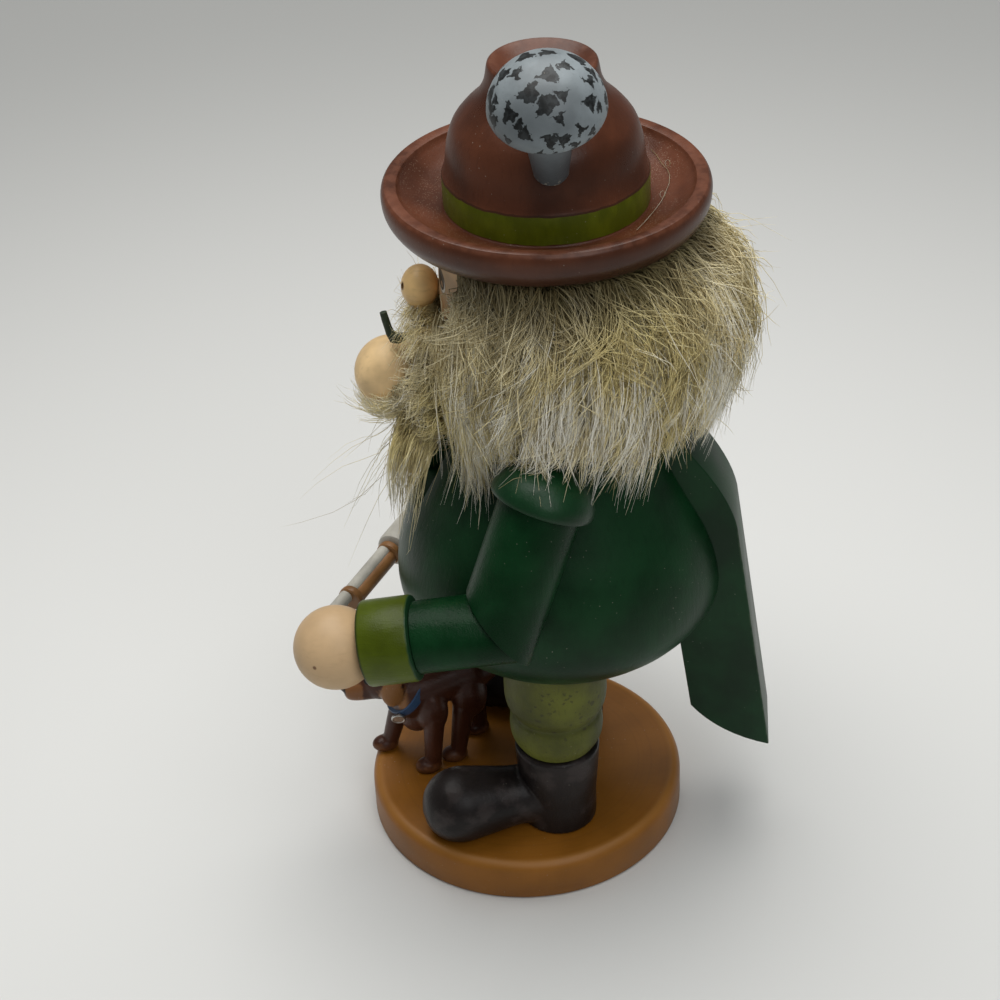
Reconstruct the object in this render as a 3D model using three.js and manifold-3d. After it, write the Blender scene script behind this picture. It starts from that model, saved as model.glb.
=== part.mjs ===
import * as THREE from 'three';
import { mergeVertices } from 'three/addons/utils/BufferGeometryUtils.js';
import Module from 'manifold-3d';

const wasm = await Module();
wasm.setup();

// Sizes in millimetres. The figure stands on Z = 0, faces -Y, and its left side is +X.

// Clearances
const glueGap = 0.3;
const runGap = 0.1;
const slotPlay = 0.3;

// Base disc
const baseRadius = 48;
const baseHeight = 13.2;
const baseRound = 4.5;

// Legs, and how far behind the middle of the base the figure stands
const setback = 11.7;
const legSpread = 22.9;
const legDowelRadius = 4;
const bootHeight = 28.8;
const bootFootRadius = 11.2;
const bootTopRadius = 12.6;
const toeReach = 30.4;
const toeRadius = 11.4;
const toeWaist = 9;
const toeSplay = 16.4;
const stockingHeight = 35;
const stockingRadius = 15;
const stockingWaist = 13.1;

// Egg-shaped body
const bodyLift = 47.8;
const bodyHeight = 87;
const bodyRadius = 47.4;
const bodyBack = 0.9;

// Head block
const headRadius = 29.5;
const headHeight = 54.7;
const neckDowelRadius = 3;
const neckDowelSpread = 20;
const hatDowelRadius = 5;

// Jaw lever, its pin and its slot
const leverWidth = 22.5;
const leverDepth = 21.4;
const handleLength = 81;
const handleSlope = 7.9;
const handleReach = 51.9;
const pivotBack = 4.3;
const pivotDrop = 8;
const pinRadius = 2;
const pinLength = 52;
const mouthGap = 5.5;
const palateRise = 22.2;
const openAngle = 32;

// Face
const noseRadius = 5.9;
const noseDepth = 5.2;
const noseRise = 33.9;
const chinRadius = 10.2;
const chinReach = 44.7;
const chinRise = 7;
const pegRadius = 2;
const twigRadius = 0.95;

// Hat and its tuft
const brimRadius = 43.3;
const crownRadius = 27.2;
const crownTopRadius = 14.3;
const brimFloor = 5.8;
const bandHeight = 8.5;
const hatHeight = 46;
const tuftRadius = 14.6;
const tuftLength = 26;
const tuftLean = 20;

// Arms
const shoulderOut = 42;
const shoulderDrop = 7.8;
const elbowOut = 53;
const elbowDrop = 40.6;
const elbowForward = 12.4;
const handOut = 53.5;
const handForward = 57.2;
const handDrop = 48.2;
const capRadius = 14.3;
const upperArmRadius = 11.4;
const forearmRadius = 10;
const cuffRadius = 11.9;
const cuffLength = 14.4;
const handRadius = 11.6;
const wristDowelRadius = 2.5;
const armDowelRadius = 3;

// Gun carried across the belly
const gunHeight = 83.3;
const gunForward = 51.1;
const gunTurn = 20.7;
const gunLength = 134;
const buttLength = 31.4;
const muzzleOut = 38;
const barrelLength = 54;
const barrelRadius = 2;
const forendRadius = 2.5;
const receiverRadius = 5.4;
const receiverLength = 18.3;
const gripRadius = 2.7;

// Fur
const hairRadius = 50.5;
const hairBack = 9.3;
const faceOpening = 15;
const beardLength = 31;

// Hound at the feet
const dogTurn = 20;
const dogHeight = 40;

// Heights that follow from the sizes above
const footZ = baseHeight + glueGap;
const bootTopZ = baseHeight + bootHeight;
const stockingTopZ = bootTopZ + stockingHeight;
const bodyZ = baseHeight + bodyLift;
const bodyTopZ = bodyZ + bodyHeight;
const headZ = bodyTopZ + glueGap;
const headTopZ = headZ + headHeight;
const palateZ = headZ + palateRise;
const jawTopZ = palateZ - mouthGap;
const hatZ = headTopZ + glueGap;
const hemZ = bodyTopZ - 15;
const pivotY = setback + pivotBack;
const pivotZ = bodyTopZ - pivotDrop;

// Paint and bare finishes
function finish(color, roughness, metalness = 0) {
  return new THREE.MeshStandardMaterial({ color, roughness, metalness });
}
const greenPaint = finish(0x183a20, 0.4);
const brownPaint = finish(0x5b2f1d, 0.4);
const basePaint = finish(0x89591f, 0.4);
const skinPaint = finish(0xe2bd93, 0.45);
const bootPaint = finish(0x231e1d, 0.35);
const stockingPaint = finish(0x656734, 0.6);
const cuffPaint = finish(0x4f5e12, 0.5);
const tuftPaint = finish(0xa9b4bc, 0.5);
const bareWood = finish(0xc8a271, 0.7);
const furHair = finish(0x9d9276, 0.9);
const twigPaint = finish(0x1f3324, 0.6);
const gunWood = finish(0x86613b, 0.4);
const gunGrey = finish(0xb4b2a6, 0.45);
const dogPaint = finish(0x5f2d1c, 0.45);
const collarPaint = finish(0x2b4f9c, 0.45);
const tagMetal = finish(0xc4c6c8, 0.3, 0.9);
const pinSteel = finish(0xb8babc, 0.3, 1);

// Closed solid from a geometry, facing outward
function solid(geometry) {
  const plain = geometry.clone();
  plain.deleteAttribute('normal');
  plain.deleteAttribute('uv');
  const welded = mergeVertices(plain, 1e-4);
  const at = welded.attributes.position;
  const triangles = [];
  let volume = 0;
  const a = new THREE.Vector3();
  const b = new THREE.Vector3();
  const c = new THREE.Vector3();
  for (let i = 0; i < welded.index.count; i += 3) {
    const [p, q, r] = [0, 1, 2].map((k) => welded.index.getX(i + k));
    if (p === q || q === r || r === p) continue;
    triangles.push([p, q, r]);
    a.fromBufferAttribute(at, p);
    b.fromBufferAttribute(at, q);
    c.fromBufferAttribute(at, r);
    volume += a.dot(b.cross(c));
  }
  if (volume < 0) triangles.forEach((t) => t.reverse());
  return new wasm.Manifold(new wasm.Mesh({
    numProp: 3,
    vertProperties: new Float32Array(at.array),
    triVerts: new Uint32Array(triangles.flat()),
  }));
}

// Matrix that stands the Z axis on a point and turns it along a direction
function standing(point, direction) {
  const turn = new THREE.Quaternion().setFromUnitVectors(at(0, 0, 1), direction.clone().normalize());
  return new THREE.Matrix4().compose(point, turn, new THREE.Vector3(1, 1, 1));
}

// Turned piece: pairs of radius and height, spun about Z and stood on a point
function turned(profile, sides, point = new THREE.Vector3(), direction = new THREE.Vector3(0, 0, 1)) {
  const outline = profile.map(([r, z]) => new THREE.Vector2(Math.max(r, 0), z));
  const spun = new THREE.LatheGeometry(outline, sides);
  spun.rotateX(Math.PI / 2);
  return solid(spun.applyMatrix4(standing(point, direction)));
}

// Round bar between two points
function bar(radius, from, to, sides = 16) {
  const along = to.clone().sub(from);
  return turned([[0, 0], [radius, 0], [radius, along.length()], [0, along.length()]], sides, from, along);
}

// Ball, stretched along its axes if asked
function ball(radius, centre, sides = 20, stretch = [1, 1, 1]) {
  const round = new THREE.SphereGeometry(radius, sides, Math.round(sides / 2));
  round.rotateX(Math.PI / 2);
  round.scale(...stretch);
  return solid(round.translate(centre.x, centre.y, centre.z));
}

// Board sawn to an outline drawn in Y and Z, centred on X = 0
function board(outline, width) {
  const sawn = new THREE.ExtrudeGeometry(outline, { depth: width, bevelEnabled: false, curveSegments: 5 });
  sawn.translate(0, 0, -width / 2);
  const turn = new THREE.Matrix4().makeBasis(at(0, 1, 0), at(0, 0, 1), at(1, 0, 0));
  return solid(sawn.applyMatrix4(turn));
}

// Rectangular block between two corners
function block(low, high) {
  const size = high.clone().sub(low);
  const middle = low.clone().add(high).multiplyScalar(0.5);
  return solid(new THREE.BoxGeometry(size.x, size.y, size.z).translate(middle.x, middle.y, middle.z));
}

function at(x, y, z) {
  return new THREE.Vector3(x, y, z);
}

// Smooth outline through a few radius and height pairs
function smooth(points, steps) {
  const curve = new THREE.SplineCurve(points.map(([r, z]) => new THREE.Vector2(r, z)));
  return curve.getPoints(steps).map((p) => [p.x, p.y]);
}

const figure = new THREE.Group();
figure.name = 'nutcracker';

function add(name, shape, material) {
  const data = shape.getMesh();
  const geometry = new THREE.BufferGeometry();
  geometry.setAttribute('position', new THREE.BufferAttribute(new Float32Array(data.vertProperties), 3));
  geometry.setIndex(new THREE.BufferAttribute(new Uint32Array(data.triVerts), 1));
  geometry.computeVertexNormals();
  const piece = new THREE.Mesh(geometry, material);
  piece.name = name;
  figure.add(piece);
}

const radians = THREE.MathUtils.degToRad;
const axis = at(0, setback, 0);

// Leg dowels run from the base through boot and stocking into the body
const legDowelFoot = baseHeight * 0.4;
const legDowelTop = stockingTopZ + 14;
const legSides = [['left', 1], ['right', -1]];
const legDowel = (side, extra) => bar(
  legDowelRadius + extra,
  at(side * legSpread, setback, legDowelFoot - extra),
  at(side * legSpread, setback, legDowelTop + extra),
);

// Base disc with a rounded top edge
const roundOver = [0, 0.33, 0.67, 1].map((t) => [
  baseRadius - baseRound + baseRound * Math.cos(t * Math.PI / 2),
  baseHeight - baseRound + baseRound * Math.sin(t * Math.PI / 2),
]);
let base = turned([[0, 0], [baseRadius - 0.8, 0], [baseRadius, 0.8], ...roundOver, [0, baseHeight]], 40);
for (const [, side] of legSides) base = base.subtract(legDowel(side, glueGap));
add('base', base, basePaint);

// Boots: a turned shaft and a bulbous toe glued to its front
for (const [name, side] of legSides) {
  const foot = at(side * legSpread, setback, footZ);
  const shaftHeight = bootTopZ - footZ;
  const shaft = (extra) => turned([
    [0, -extra],
    [bootFootRadius + extra, -extra],
    [bootFootRadius + 0.2 + extra, shaftHeight * 0.35],
    [bootTopRadius + extra, shaftHeight - 1.2],
    [bootTopRadius - 0.7 + extra, shaftHeight + extra],
    [0, shaftHeight + extra],
  ], 20, foot);
  add(`${name}_boot_shaft`, shaft(0).subtract(legDowel(side, glueGap)), bootPaint);

  const splay = radians(toeSplay) * side;
  const forward = at(Math.sin(splay), -Math.cos(splay), 0);
  const toeOutline = smooth([
    [toeWaist * 1.02, 4],
    [toeWaist, toeReach * 0.45],
    [toeRadius * 0.93, toeReach * 0.78],
    [toeRadius, toeReach],
    [toeRadius * 0.87, toeReach + toeRadius * 0.5],
    [toeRadius * 0.5, toeReach + toeRadius * 0.87],
    [0, toeReach + toeRadius],
  ], 9);
  const toeCentre = at(side * legSpread, setback, baseHeight + toeRadius * 0.8);
  const toe = turned([[0, 4], ...toeOutline], 18, toeCentre, forward);
  const floor = block(at(-200, -200, -50), at(200, 200, footZ));
  add(`${name}_boot_toe`, toe.subtract(shaft(glueGap)).subtract(floor), bootPaint);
}

// Stockings: turned legs with a rolled top, let into seats bored in the body
const stockingFoot = bootTopZ + glueGap;
for (const [name, side] of legSides) {
  const tall = stockingTopZ - stockingFoot;
  const outline = smooth([
    [bootTopRadius - 1.2, 0],
    [stockingWaist + 0.5, tall * 0.2],
    [stockingWaist, tall * 0.36],
    [stockingRadius - 0.4, tall * 0.47],
    [stockingRadius, tall * 0.56],
  ], 6);
  const foot = at(side * legSpread, setback, stockingFoot);
  const leg = turned([[0, 0], ...outline, [stockingRadius, tall], [0, tall]], 20, foot);
  add(`${name}_stocking`, leg.subtract(legDowel(side, glueGap)), stockingPaint);
  add(`${name}_leg_dowel`, legDowel(side, 0), bareWood);
}

// Egg outline of the body, taller or fatter by an allowance
function egg(extra) {
  const outline = smooth([
    [0.30, 0],
    [0.58, 0.08],
    [0.82, 0.172],
    [0.955, 0.262],
    [1, 0.356],
    [0.978, 0.471],
    [0.912, 0.586],
    [0.819, 0.69],
    [0.72, 0.805],
    [0.647, 0.908],
    [0.614, 1],
  ].map(([r, z]) => [r * bodyRadius + extra, z * bodyHeight]), 11);
  const collar = [0.614 * bodyRadius + extra, bodyHeight + extra];
  const closed = [[0, -extra], ...outline, collar, [0, bodyHeight + extra]];
  return turned(closed, 34, at(0, setback + bodyBack, bodyZ));
}

// Jaw lever: the chin end, the knee that turns on the pin, and the coat-tail handle behind
const slope = radians(handleSlope);
const handleTop = { y: setback + handleReach, z: bodyTopZ - 36.7 };
const handleTip = {
  y: handleTop.y + handleLength * Math.sin(slope),
  z: handleTop.z - handleLength * Math.cos(slope),
};
const across = leverDepth / Math.cos(slope);
const innerY = (z) => handleTop.y - across + (handleTop.z - z) * Math.tan(slope);
const jawFrontY = setback - headRadius - 6.2;
const jawBottomZ = jawTopZ - 18;
const kneeRadius = 12;
const lowCornerZ = handleTip.z + 14.7;
const leverOutline = new THREE.Shape();
leverOutline.moveTo(jawFrontY, jawTopZ);
leverOutline.lineTo(setback - 8, jawTopZ);
leverOutline.quadraticCurveTo(pivotY + 2, jawTopZ, pivotY + 12, pivotZ + 14);
leverOutline.quadraticCurveTo(pivotY + 28, pivotZ + 5, handleTop.y - 11.2, pivotZ - 7);
leverOutline.quadraticCurveTo(handleTop.y - 2, pivotZ - 19, handleTop.y, handleTop.z);
leverOutline.lineTo(handleTip.y, handleTip.z);
leverOutline.quadraticCurveTo(handleTip.y - 15, handleTip.z + 3.5, innerY(lowCornerZ), lowCornerZ);
leverOutline.lineTo(innerY(handleTop.z), handleTop.z);
leverOutline.quadraticCurveTo(innerY(handleTop.z) - 2, pivotZ - kneeRadius, pivotY + 8, pivotZ - kneeRadius);
leverOutline.lineTo(pivotY - 2, pivotZ - kneeRadius);
leverOutline.quadraticCurveTo(pivotY - 16, pivotZ - kneeRadius + 1, jawFrontY, jawBottomZ);
leverOutline.closePath();

const pin = (extra, half) => bar(pinRadius + extra, at(-half, pivotY, pivotZ), at(half, pivotY, pivotZ));
const chinCentre = at(0, setback - chinReach, headZ + chinRise);
const chinPeg = (extra) => bar(
  pegRadius + extra,
  at(0, chinCentre.y + 3 - extra, chinCentre.z),
  at(0, jawFrontY + 9 + extra, chinCentre.z),
  14,
);
const lever = board(leverOutline, leverWidth);
add('jaw_lever', lever.subtract(pin(runGap, 40)).subtract(chinPeg(glueGap)), greenPaint);

// Chin ball, flattened behind where it is pegged to the lever's front
const chinBack = block(at(-40, jawFrontY - glueGap, 0), at(40, 200, 400));
add('chin_ball', ball(chinRadius, chinCentre, 18).subtract(chinBack).subtract(chinPeg(glueGap)), skinPaint);
add('chin_peg', chinPeg(0), bareWood);
add('pivot_pin', pin(0, pinLength / 2), pinSteel);

// Slot through the body, open in front for the chin to drop and behind for the handle
const swing = radians(openAngle);
const chinArm = { y: chinCentre.y - pivotY, z: chinCentre.z - pivotZ };
const chinLowZ = pivotZ + chinArm.y * Math.sin(swing) + chinArm.z * Math.cos(swing);
const chinLowY = pivotY + chinArm.y * Math.cos(swing) - chinArm.z * Math.sin(swing);
const slotWidth = leverWidth + 2 * slotPlay;
const slotFloorZ = chinLowZ - chinRadius - 1.5;
const slotBack = 2;
const slotOutline = new THREE.Shape();
slotOutline.moveTo(-150, slotFloorZ);
slotOutline.lineTo(chinLowY + chinRadius + 2, slotFloorZ);
slotOutline.lineTo(chinLowY + chinRadius + 8, pivotZ - kneeRadius - 5);
slotOutline.lineTo(pivotY + 7, pivotZ - kneeRadius - 3);
const slotBendY = innerY(handleTop.z) - slotBack;
slotOutline.quadraticCurveTo(slotBendY - 2, pivotZ - kneeRadius - 3, slotBendY, handleTop.z);
slotOutline.lineTo(innerY(0) - slotBack, 0);
slotOutline.lineTo(150, 0);
slotOutline.lineTo(150, 400);
slotOutline.lineTo(-150, 400);
slotOutline.closePath();
const bodySlot = board(slotOutline, slotWidth);

// Line of the gun, from the muzzle at the left to the butt at the right
const gunSlant = radians(gunTurn);
const gunLine = at(-Math.cos(gunSlant), Math.sin(gunSlant), 0);
const gunAside = at(0, -0.66, 0.75).normalize();
const gunCross = 11;
const gunMuzzleY = setback - gunForward - (muzzleOut + gunCross) * Math.tan(gunSlant);
const gunMuzzle = at(muzzleOut, gunMuzzleY, gunHeight);
const gripAt = gunLength - buttLength;

// Arms: the point on an upper arm's line at a height, for its dowel into the body
const arms = {
  left: {
    side: 1,
    shoulder: at(shoulderOut, setback - 0.7, bodyTopZ - shoulderDrop),
    elbow: at(elbowOut, setback - elbowForward, bodyTopZ - elbowDrop),
    hand: at(handOut, setback - handForward, bodyTopZ - handDrop),
  },
  right: {
    side: -1,
    shoulder: at(-shoulderOut - 0.5, setback + 1.3, bodyTopZ - shoulderDrop),
    elbow: at(-elbowOut - 2.5, setback + 2.3, bodyTopZ - elbowDrop - 0.9),
    hand: gunMuzzle.clone().addScaledVector(gunLine, gripAt),
  },
};
const armDowelZ = bodyTopZ - 24;
const armDowel = ({ side, shoulder, elbow }, extra) => {
  const t = (armDowelZ - elbow.z) / (shoulder.z - elbow.z);
  const middle = elbow.clone().lerp(shoulder, t);
  const inner = at(side * (leverWidth / 2 + 14), middle.y, middle.z);
  inner.x -= side * extra;
  middle.x += side * (4 + extra);
  return bar(armDowelRadius + extra, inner, middle);
};

// Domed cap on the upper end of an arm
function shoulderCap({ shoulder, elbow }, extra) {
  const up = shoulder.clone().sub(elbow);
  return turned([
    [0, glueGap / 2 - extra],
    [capRadius - 1 + extra, glueGap / 2 - extra],
    [capRadius + extra, 1.4],
    [capRadius * 0.96 + extra, 4.2],
    [capRadius * 0.78 + extra, 8.4 + extra],
    [capRadius * 0.45, 11.4 + extra],
    [0, 12.6 + extra],
  ], 18, shoulder, up);
}

// Neck dowels stand in the body's two shoulders and hold the head
const neckDowelY = setback - 9;
const neckDowel = (side, extra) => bar(
  neckDowelRadius + extra,
  at(side * neckDowelSpread, neckDowelY, bodyTopZ - 12 - extra),
  at(side * neckDowelSpread, neckDowelY, headZ + 13 + extra),
);

let body = egg(0).subtract(bodySlot).subtract(pin(runGap, 80));
for (const [, side] of legSides) {
  const seat = bar(
    stockingRadius + glueGap,
    at(side * legSpread, setback, bodyZ - 20),
    at(side * legSpread, setback, stockingTopZ + glueGap),
    20,
  );
  body = body.subtract(seat).subtract(legDowel(side, glueGap)).subtract(neckDowel(side, glueGap));
}
for (const arm of Object.values(arms)) body = body.subtract(armDowel(arm, glueGap));
add('body', body, greenPaint);

// Head block, slotted through below the palate, with seats for nose, twig and dowels
const headOutline = (extra) => [
  [0, -extra],
  [headRadius - 1.2 + extra, -extra],
  [headRadius + extra, headHeight * 0.16],
  [headRadius + extra, headHeight * 0.82],
  [headRadius - 1.2 + extra, headHeight + extra],
  [0, headHeight + extra],
];
const headSkin = (extra) => turned(headOutline(extra), 32, at(0, setback, headZ));
const throat = block(at(-slotWidth / 2, -150, headZ - 5), at(slotWidth / 2, 150, palateZ));
const hatDowel = (extra) => bar(
  hatDowelRadius + extra,
  at(0, setback, headTopZ - 14 - extra),
  at(0, setback, hatZ + 20 + extra),
);
const noseCentre = at(0, setback - headRadius - 4.9, headZ + noseRise);
const nosePeg = (extra) => bar(
  pegRadius + extra,
  at(0, noseCentre.y + 1 - extra, noseCentre.z),
  at(0, noseCentre.y + 15 + extra, noseCentre.z),
  14,
);

// Twig: bent out of the upper lip and up in front of the moustache
const lip = setback - headRadius;
const twigPath = new THREE.CatmullRomCurve3([
  at(3.6, lip + 8, palateZ + 3.2),
  at(3.6, lip - 1, palateZ + 1.4),
  at(3.6, lip - 10, palateZ - 1.8),
  at(3.5, lip - 13.2, palateZ - 2.2),
  at(3.3, lip - 14.6, palateZ + 1),
  at(3, lip - 15.6, palateZ + 5.4),
]);
function twig(extra) {
  const round = new THREE.Shape().absarc(0, 0, twigRadius + extra, 0, Math.PI * 2);
  const stem = new THREE.ExtrudeGeometry(round, { steps: 9, curveSegments: 3, extrudePath: twigPath });
  const bud = ball(twigRadius * 1.75 + extra, at(3.5, lip - 13, palateZ - 1.7), 8);
  return solid(stem).add(bud);
}
let head = headSkin(0).subtract(throat).subtract(hatDowel(glueGap));
head = head.subtract(nosePeg(glueGap)).subtract(twig(glueGap));
for (const [name, side] of legSides) {
  head = head.subtract(neckDowel(side, glueGap));
  add(`${name}_neck_dowel`, neckDowel(side, 0), bareWood);
}
add('head', head, skinPaint);
add('mouth_twig', twig(0), twigPaint);

// Nose bead, hollowed behind to sit on the face, with its drilled hole showing in front
const noseFront = at(0, noseCentre.y - 20, noseCentre.z);
const noseBore = bar(0.8, noseFront, at(0, noseCentre.y - 2.5, noseCentre.z), 10);
const nose = ball(1, noseCentre, 14, [noseRadius, noseDepth, noseRadius]);
add('nose', nose.subtract(headSkin(glueGap)).subtract(nosePeg(glueGap)).subtract(noseBore), skinPaint);
add('nose_peg', nosePeg(0), bareWood);

// Hat: brim with a flat lip and a sloping bowl, straight band and a crown that draws in to a dished top
const brimBowl = [
  [headRadius - 0.5, 0],
  ...smooth([
    [brimRadius * 0.845, 0.2],
    [brimRadius * 0.925, 1.9],
    [brimRadius * 0.985, 5.4],
    [brimRadius, 8.8],
    [brimRadius * 0.993, 10.9],
    [brimRadius * 0.977, 11.9],
  ], 7),
  [brimRadius * 0.906, 11.5],
  [brimRadius * 0.893, 10.8],
  [brimRadius * 0.79, brimFloor + 1.6],
  [crownRadius + 1.5, brimFloor + 0.1],
  [crownRadius, brimFloor],
];
const bandTop = brimFloor + bandHeight;
const crown = smooth([
  [crownRadius - 0.3, bandTop],
  [crownRadius - 1, hatHeight * 0.38],
  [crownRadius - 1.8, hatHeight * 0.5],
  [crownRadius - 3.5, hatHeight * 0.615],
  [crownTopRadius + 6.2, hatHeight * 0.71],
  [crownTopRadius + 3, hatHeight * 0.787],
  [crownTopRadius + 0.9, hatHeight * 0.876],
  [crownTopRadius, hatHeight * 0.985],
], 7);
const hatTop = [
  [crownTopRadius - 1.3, hatHeight],
  [crownTopRadius - 5, hatHeight - 1.8],
  [0, hatHeight - 2.6],
];
const hatOutline = [[0, 0], ...brimBowl, [crownRadius, bandTop], ...crown, ...hatTop];

// Tuft: a turned cone with a domed cap, pegged into the side of the crown
const lean = radians(tuftLean);
const tuftLine = at(Math.sin(lean), 0, Math.cos(lean));
const tuftFoot = at(crownRadius - 2.4, setback + 3.4, hatZ + hatHeight * 0.49);
const tuftOutline = (extra) => {
  const dome = [0, 1, 2, 3, 4, 5].map((k) => [
    tuftRadius * Math.cos(k * Math.PI / 10),
    tuftLength + tuftRadius * Math.sin(k * Math.PI / 10),
  ]);
  return [
    [0, -8 - extra],
    [2 + extra, -8 - extra],
    [2 + extra, 1],
    [4.2 + extra, 2.6],
    [7 + extra, tuftLength - 1.5],
    [tuftRadius - 1, tuftLength - 1.5],
    ...dome,
  ];
};
const tuft = (extra) => turned(tuftOutline(extra), 20, tuftFoot, tuftLine);
const hat = turned(hatOutline, 32, at(0, setback, hatZ));
add('hat', hat.subtract(hatDowel(glueGap)).subtract(tuft(glueGap)), brownPaint);
add('hat_dowel', hatDowel(0), bareWood);
add('hat_tuft', tuft(0), tuftPaint);

// Gun: barrel let into a wooden forend, a receiver sleeve, and a grip held in the right hand
const receiverStart = barrelLength + glueGap;
const receiverEnd = receiverStart + receiverLength;
const gripEnd = gripAt + handRadius + 1.3;
const gunAt = (s, aside) => gunMuzzle.clone().addScaledVector(gunLine, s).addScaledVector(gunAside, aside);
const gunRod = (radius, from, to, aside) => bar(radius, gunAt(from, aside), gunAt(to, aside), 12);
const barrelAside = barrelRadius + 0.4;
const barrelBore = gunRod(barrelRadius + glueGap, -5, receiverStart + 0.5, barrelAside);
const gunStock = turned([
  [0, barrelLength * 0.51],
  [forendRadius, barrelLength * 0.51],
  [forendRadius, barrelLength],
  [1.7, barrelLength],
  [1.7, receiverEnd + glueGap],
  [gripRadius, receiverEnd + glueGap],
  [gripRadius, gripEnd],
  [gripRadius + 2.2, gripEnd + (gunLength - gripEnd) * 0.3],
  [gripRadius + 2.9, gunLength - 1],
  [gripRadius + 1.9, gunLength],
  [0, gunLength],
], 12, gunMuzzle, gunLine);
const frontRing = gunRod(3.7, barrelLength * 0.51, barrelLength * 0.51 + 2.6, barrelAside * 0.4);
const rearRing = gunRod(3.7, barrelLength - 2.6, barrelLength, barrelAside * 0.4);
const receiver = turned([
  [0, receiverStart],
  [receiverRadius - 1, receiverStart],
  [receiverRadius, receiverStart + 1.5],
  [receiverRadius, receiverEnd - 4],
  [receiverRadius - 2.2, receiverEnd],
  [0, receiverEnd],
], 14, gunAt(0, barrelAside * 0.2), gunLine);
const spineBore = gunRod(1.7 + glueGap, receiverStart - 2, receiverEnd + 2, 0);
const muzzleBore = gunRod(barrelRadius * 0.55, -2, 8, barrelAside);
const handBore = gunRod(gripRadius + glueGap, receiverEnd + 2, gunLength, 0);
add('gun_stock', gunStock.add(frontRing).add(rearRing).subtract(barrelBore), gunWood);
add('gun_barrel', gunRod(barrelRadius, 0, barrelLength, barrelAside).subtract(muzzleBore), gunGrey);
add('gun_receiver', receiver.subtract(spineBore), gunGrey);

// Both arms: shoulder cap, upper arm, forearm mitred at the elbow, cuff, wrist dowel and ball hand
for (const [name, arm] of Object.entries(arms)) {
  const { shoulder, elbow, hand } = arm;
  const down = elbow.clone().sub(shoulder).normalize();
  const ahead = hand.clone().sub(elbow).normalize();
  const mitre = down.clone().add(ahead).normalize();
  const sawCut = standing(elbow, mitre);
  const slab = (z) => solid(new THREE.BoxGeometry(120, 120, 60).translate(0, 0, z).applyMatrix4(sawCut));
  const pastElbow = slab(30 - glueGap / 2);
  const beforeElbow = slab(glueGap / 2 - 30);
  const skin = egg(glueGap);
  add(`${name}_shoulder_cap`, shoulderCap(arm, 0).subtract(skin), greenPaint);

  const armTop = shoulder.clone().addScaledVector(down, glueGap / 2);
  const upper = bar(upperArmRadius, armTop, elbow.clone().addScaledVector(down, 20), 18);
  const sawn = upper.subtract(pastElbow).subtract(skin);
  add(`${name}_upper_arm`, sawn.subtract(armDowel(arm, glueGap)), greenPaint);
  add(`${name}_arm_dowel`, armDowel(arm, 0), bareWood);

  const reach = hand.distanceTo(elbow);
  const along = (s) => elbow.clone().addScaledVector(ahead, s);
  const cuffFront = reach - handRadius * 0.72;
  const cuffBack = cuffFront - cuffLength;
  const wristDowel = (extra) => bar(
    wristDowelRadius + extra,
    along(cuffBack - 8 - extra),
    along(reach - 3 + extra),
    12,
  );
  const fore = bar(forearmRadius, along(-20), along(cuffBack - glueGap), 18);
  const mitred = fore.subtract(beforeElbow).subtract(skin);
  add(`${name}_forearm`, mitred.subtract(wristDowel(glueGap)), greenPaint);

  const ring = turned([
    [0, 0],
    [cuffRadius - 1.2, 0],
    [cuffRadius, 1.2],
    [cuffRadius, cuffLength - 1.2],
    [cuffRadius - 1.2, cuffLength],
    [0, cuffLength],
  ], 18, along(cuffBack), ahead);
  const fist = ball(handRadius, hand, 14);
  const fistSeat = ball(handRadius + glueGap, hand, 14);
  const cuff = ring.subtract(fistSeat).subtract(skin);
  add(`${name}_cuff`, cuff.subtract(wristDowel(glueGap)), cuffPaint);
  const bored = name === 'right' ? fist.subtract(handBore) : fist;
  add(`${name}_hand`, bored.subtract(wristDowel(glueGap)), skinPaint);
  const wristPin = name === 'right' ? wristDowel(0).subtract(handBore) : wristDowel(0);
  add(`${name}_wrist_dowel`, wristPin, bareWood);
}

// Hair: a pelt round the head from brim to shoulders, open at the face and over the lever
const hairBlob = turned([
  [0, hemZ],
  ...smooth([
    [0.67, 0],
    [0.8, 0.18],
    [0.92, 0.4],
    [0.985, 0.62],
    [0.95, 0.85],
    [0.77, 1],
  ].map(([r, z]) => [r * hairRadius, hemZ + z * (headTopZ - 0.8 - hemZ)]), 6),
  [0, headTopZ - 0.8],
], 18);
const hairPlace = new THREE.Matrix4().makeScale(0.94, 0.97, 1).setPosition(0, setback + hairBack, 0);
const hemTilt = radians(10);
const hem = new THREE.BoxGeometry(300, 300, 100).translate(0, 0, -50).rotateX(-hemTilt);
const hemCut = solid(hem.translate(0, setback, hemZ + 9.5));
const faceCut = block(at(-faceOpening, -150, 0), at(faceOpening, setback - 6, 400));
const leverCut = block(at(-leverWidth / 2 - 1, setback + 4, 0), at(leverWidth / 2 + 1, 150, headZ + 15));
let hair = hairBlob.transform(hairPlace.elements).subtract(hemCut).subtract(headSkin(glueGap));
hair = hair.subtract(egg(glueGap)).subtract(faceCut).subtract(leverCut);
for (const arm of Object.values(arms)) hair = hair.subtract(shoulderCap(arm, glueGap));
add('hair', hair, furHair);

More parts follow.
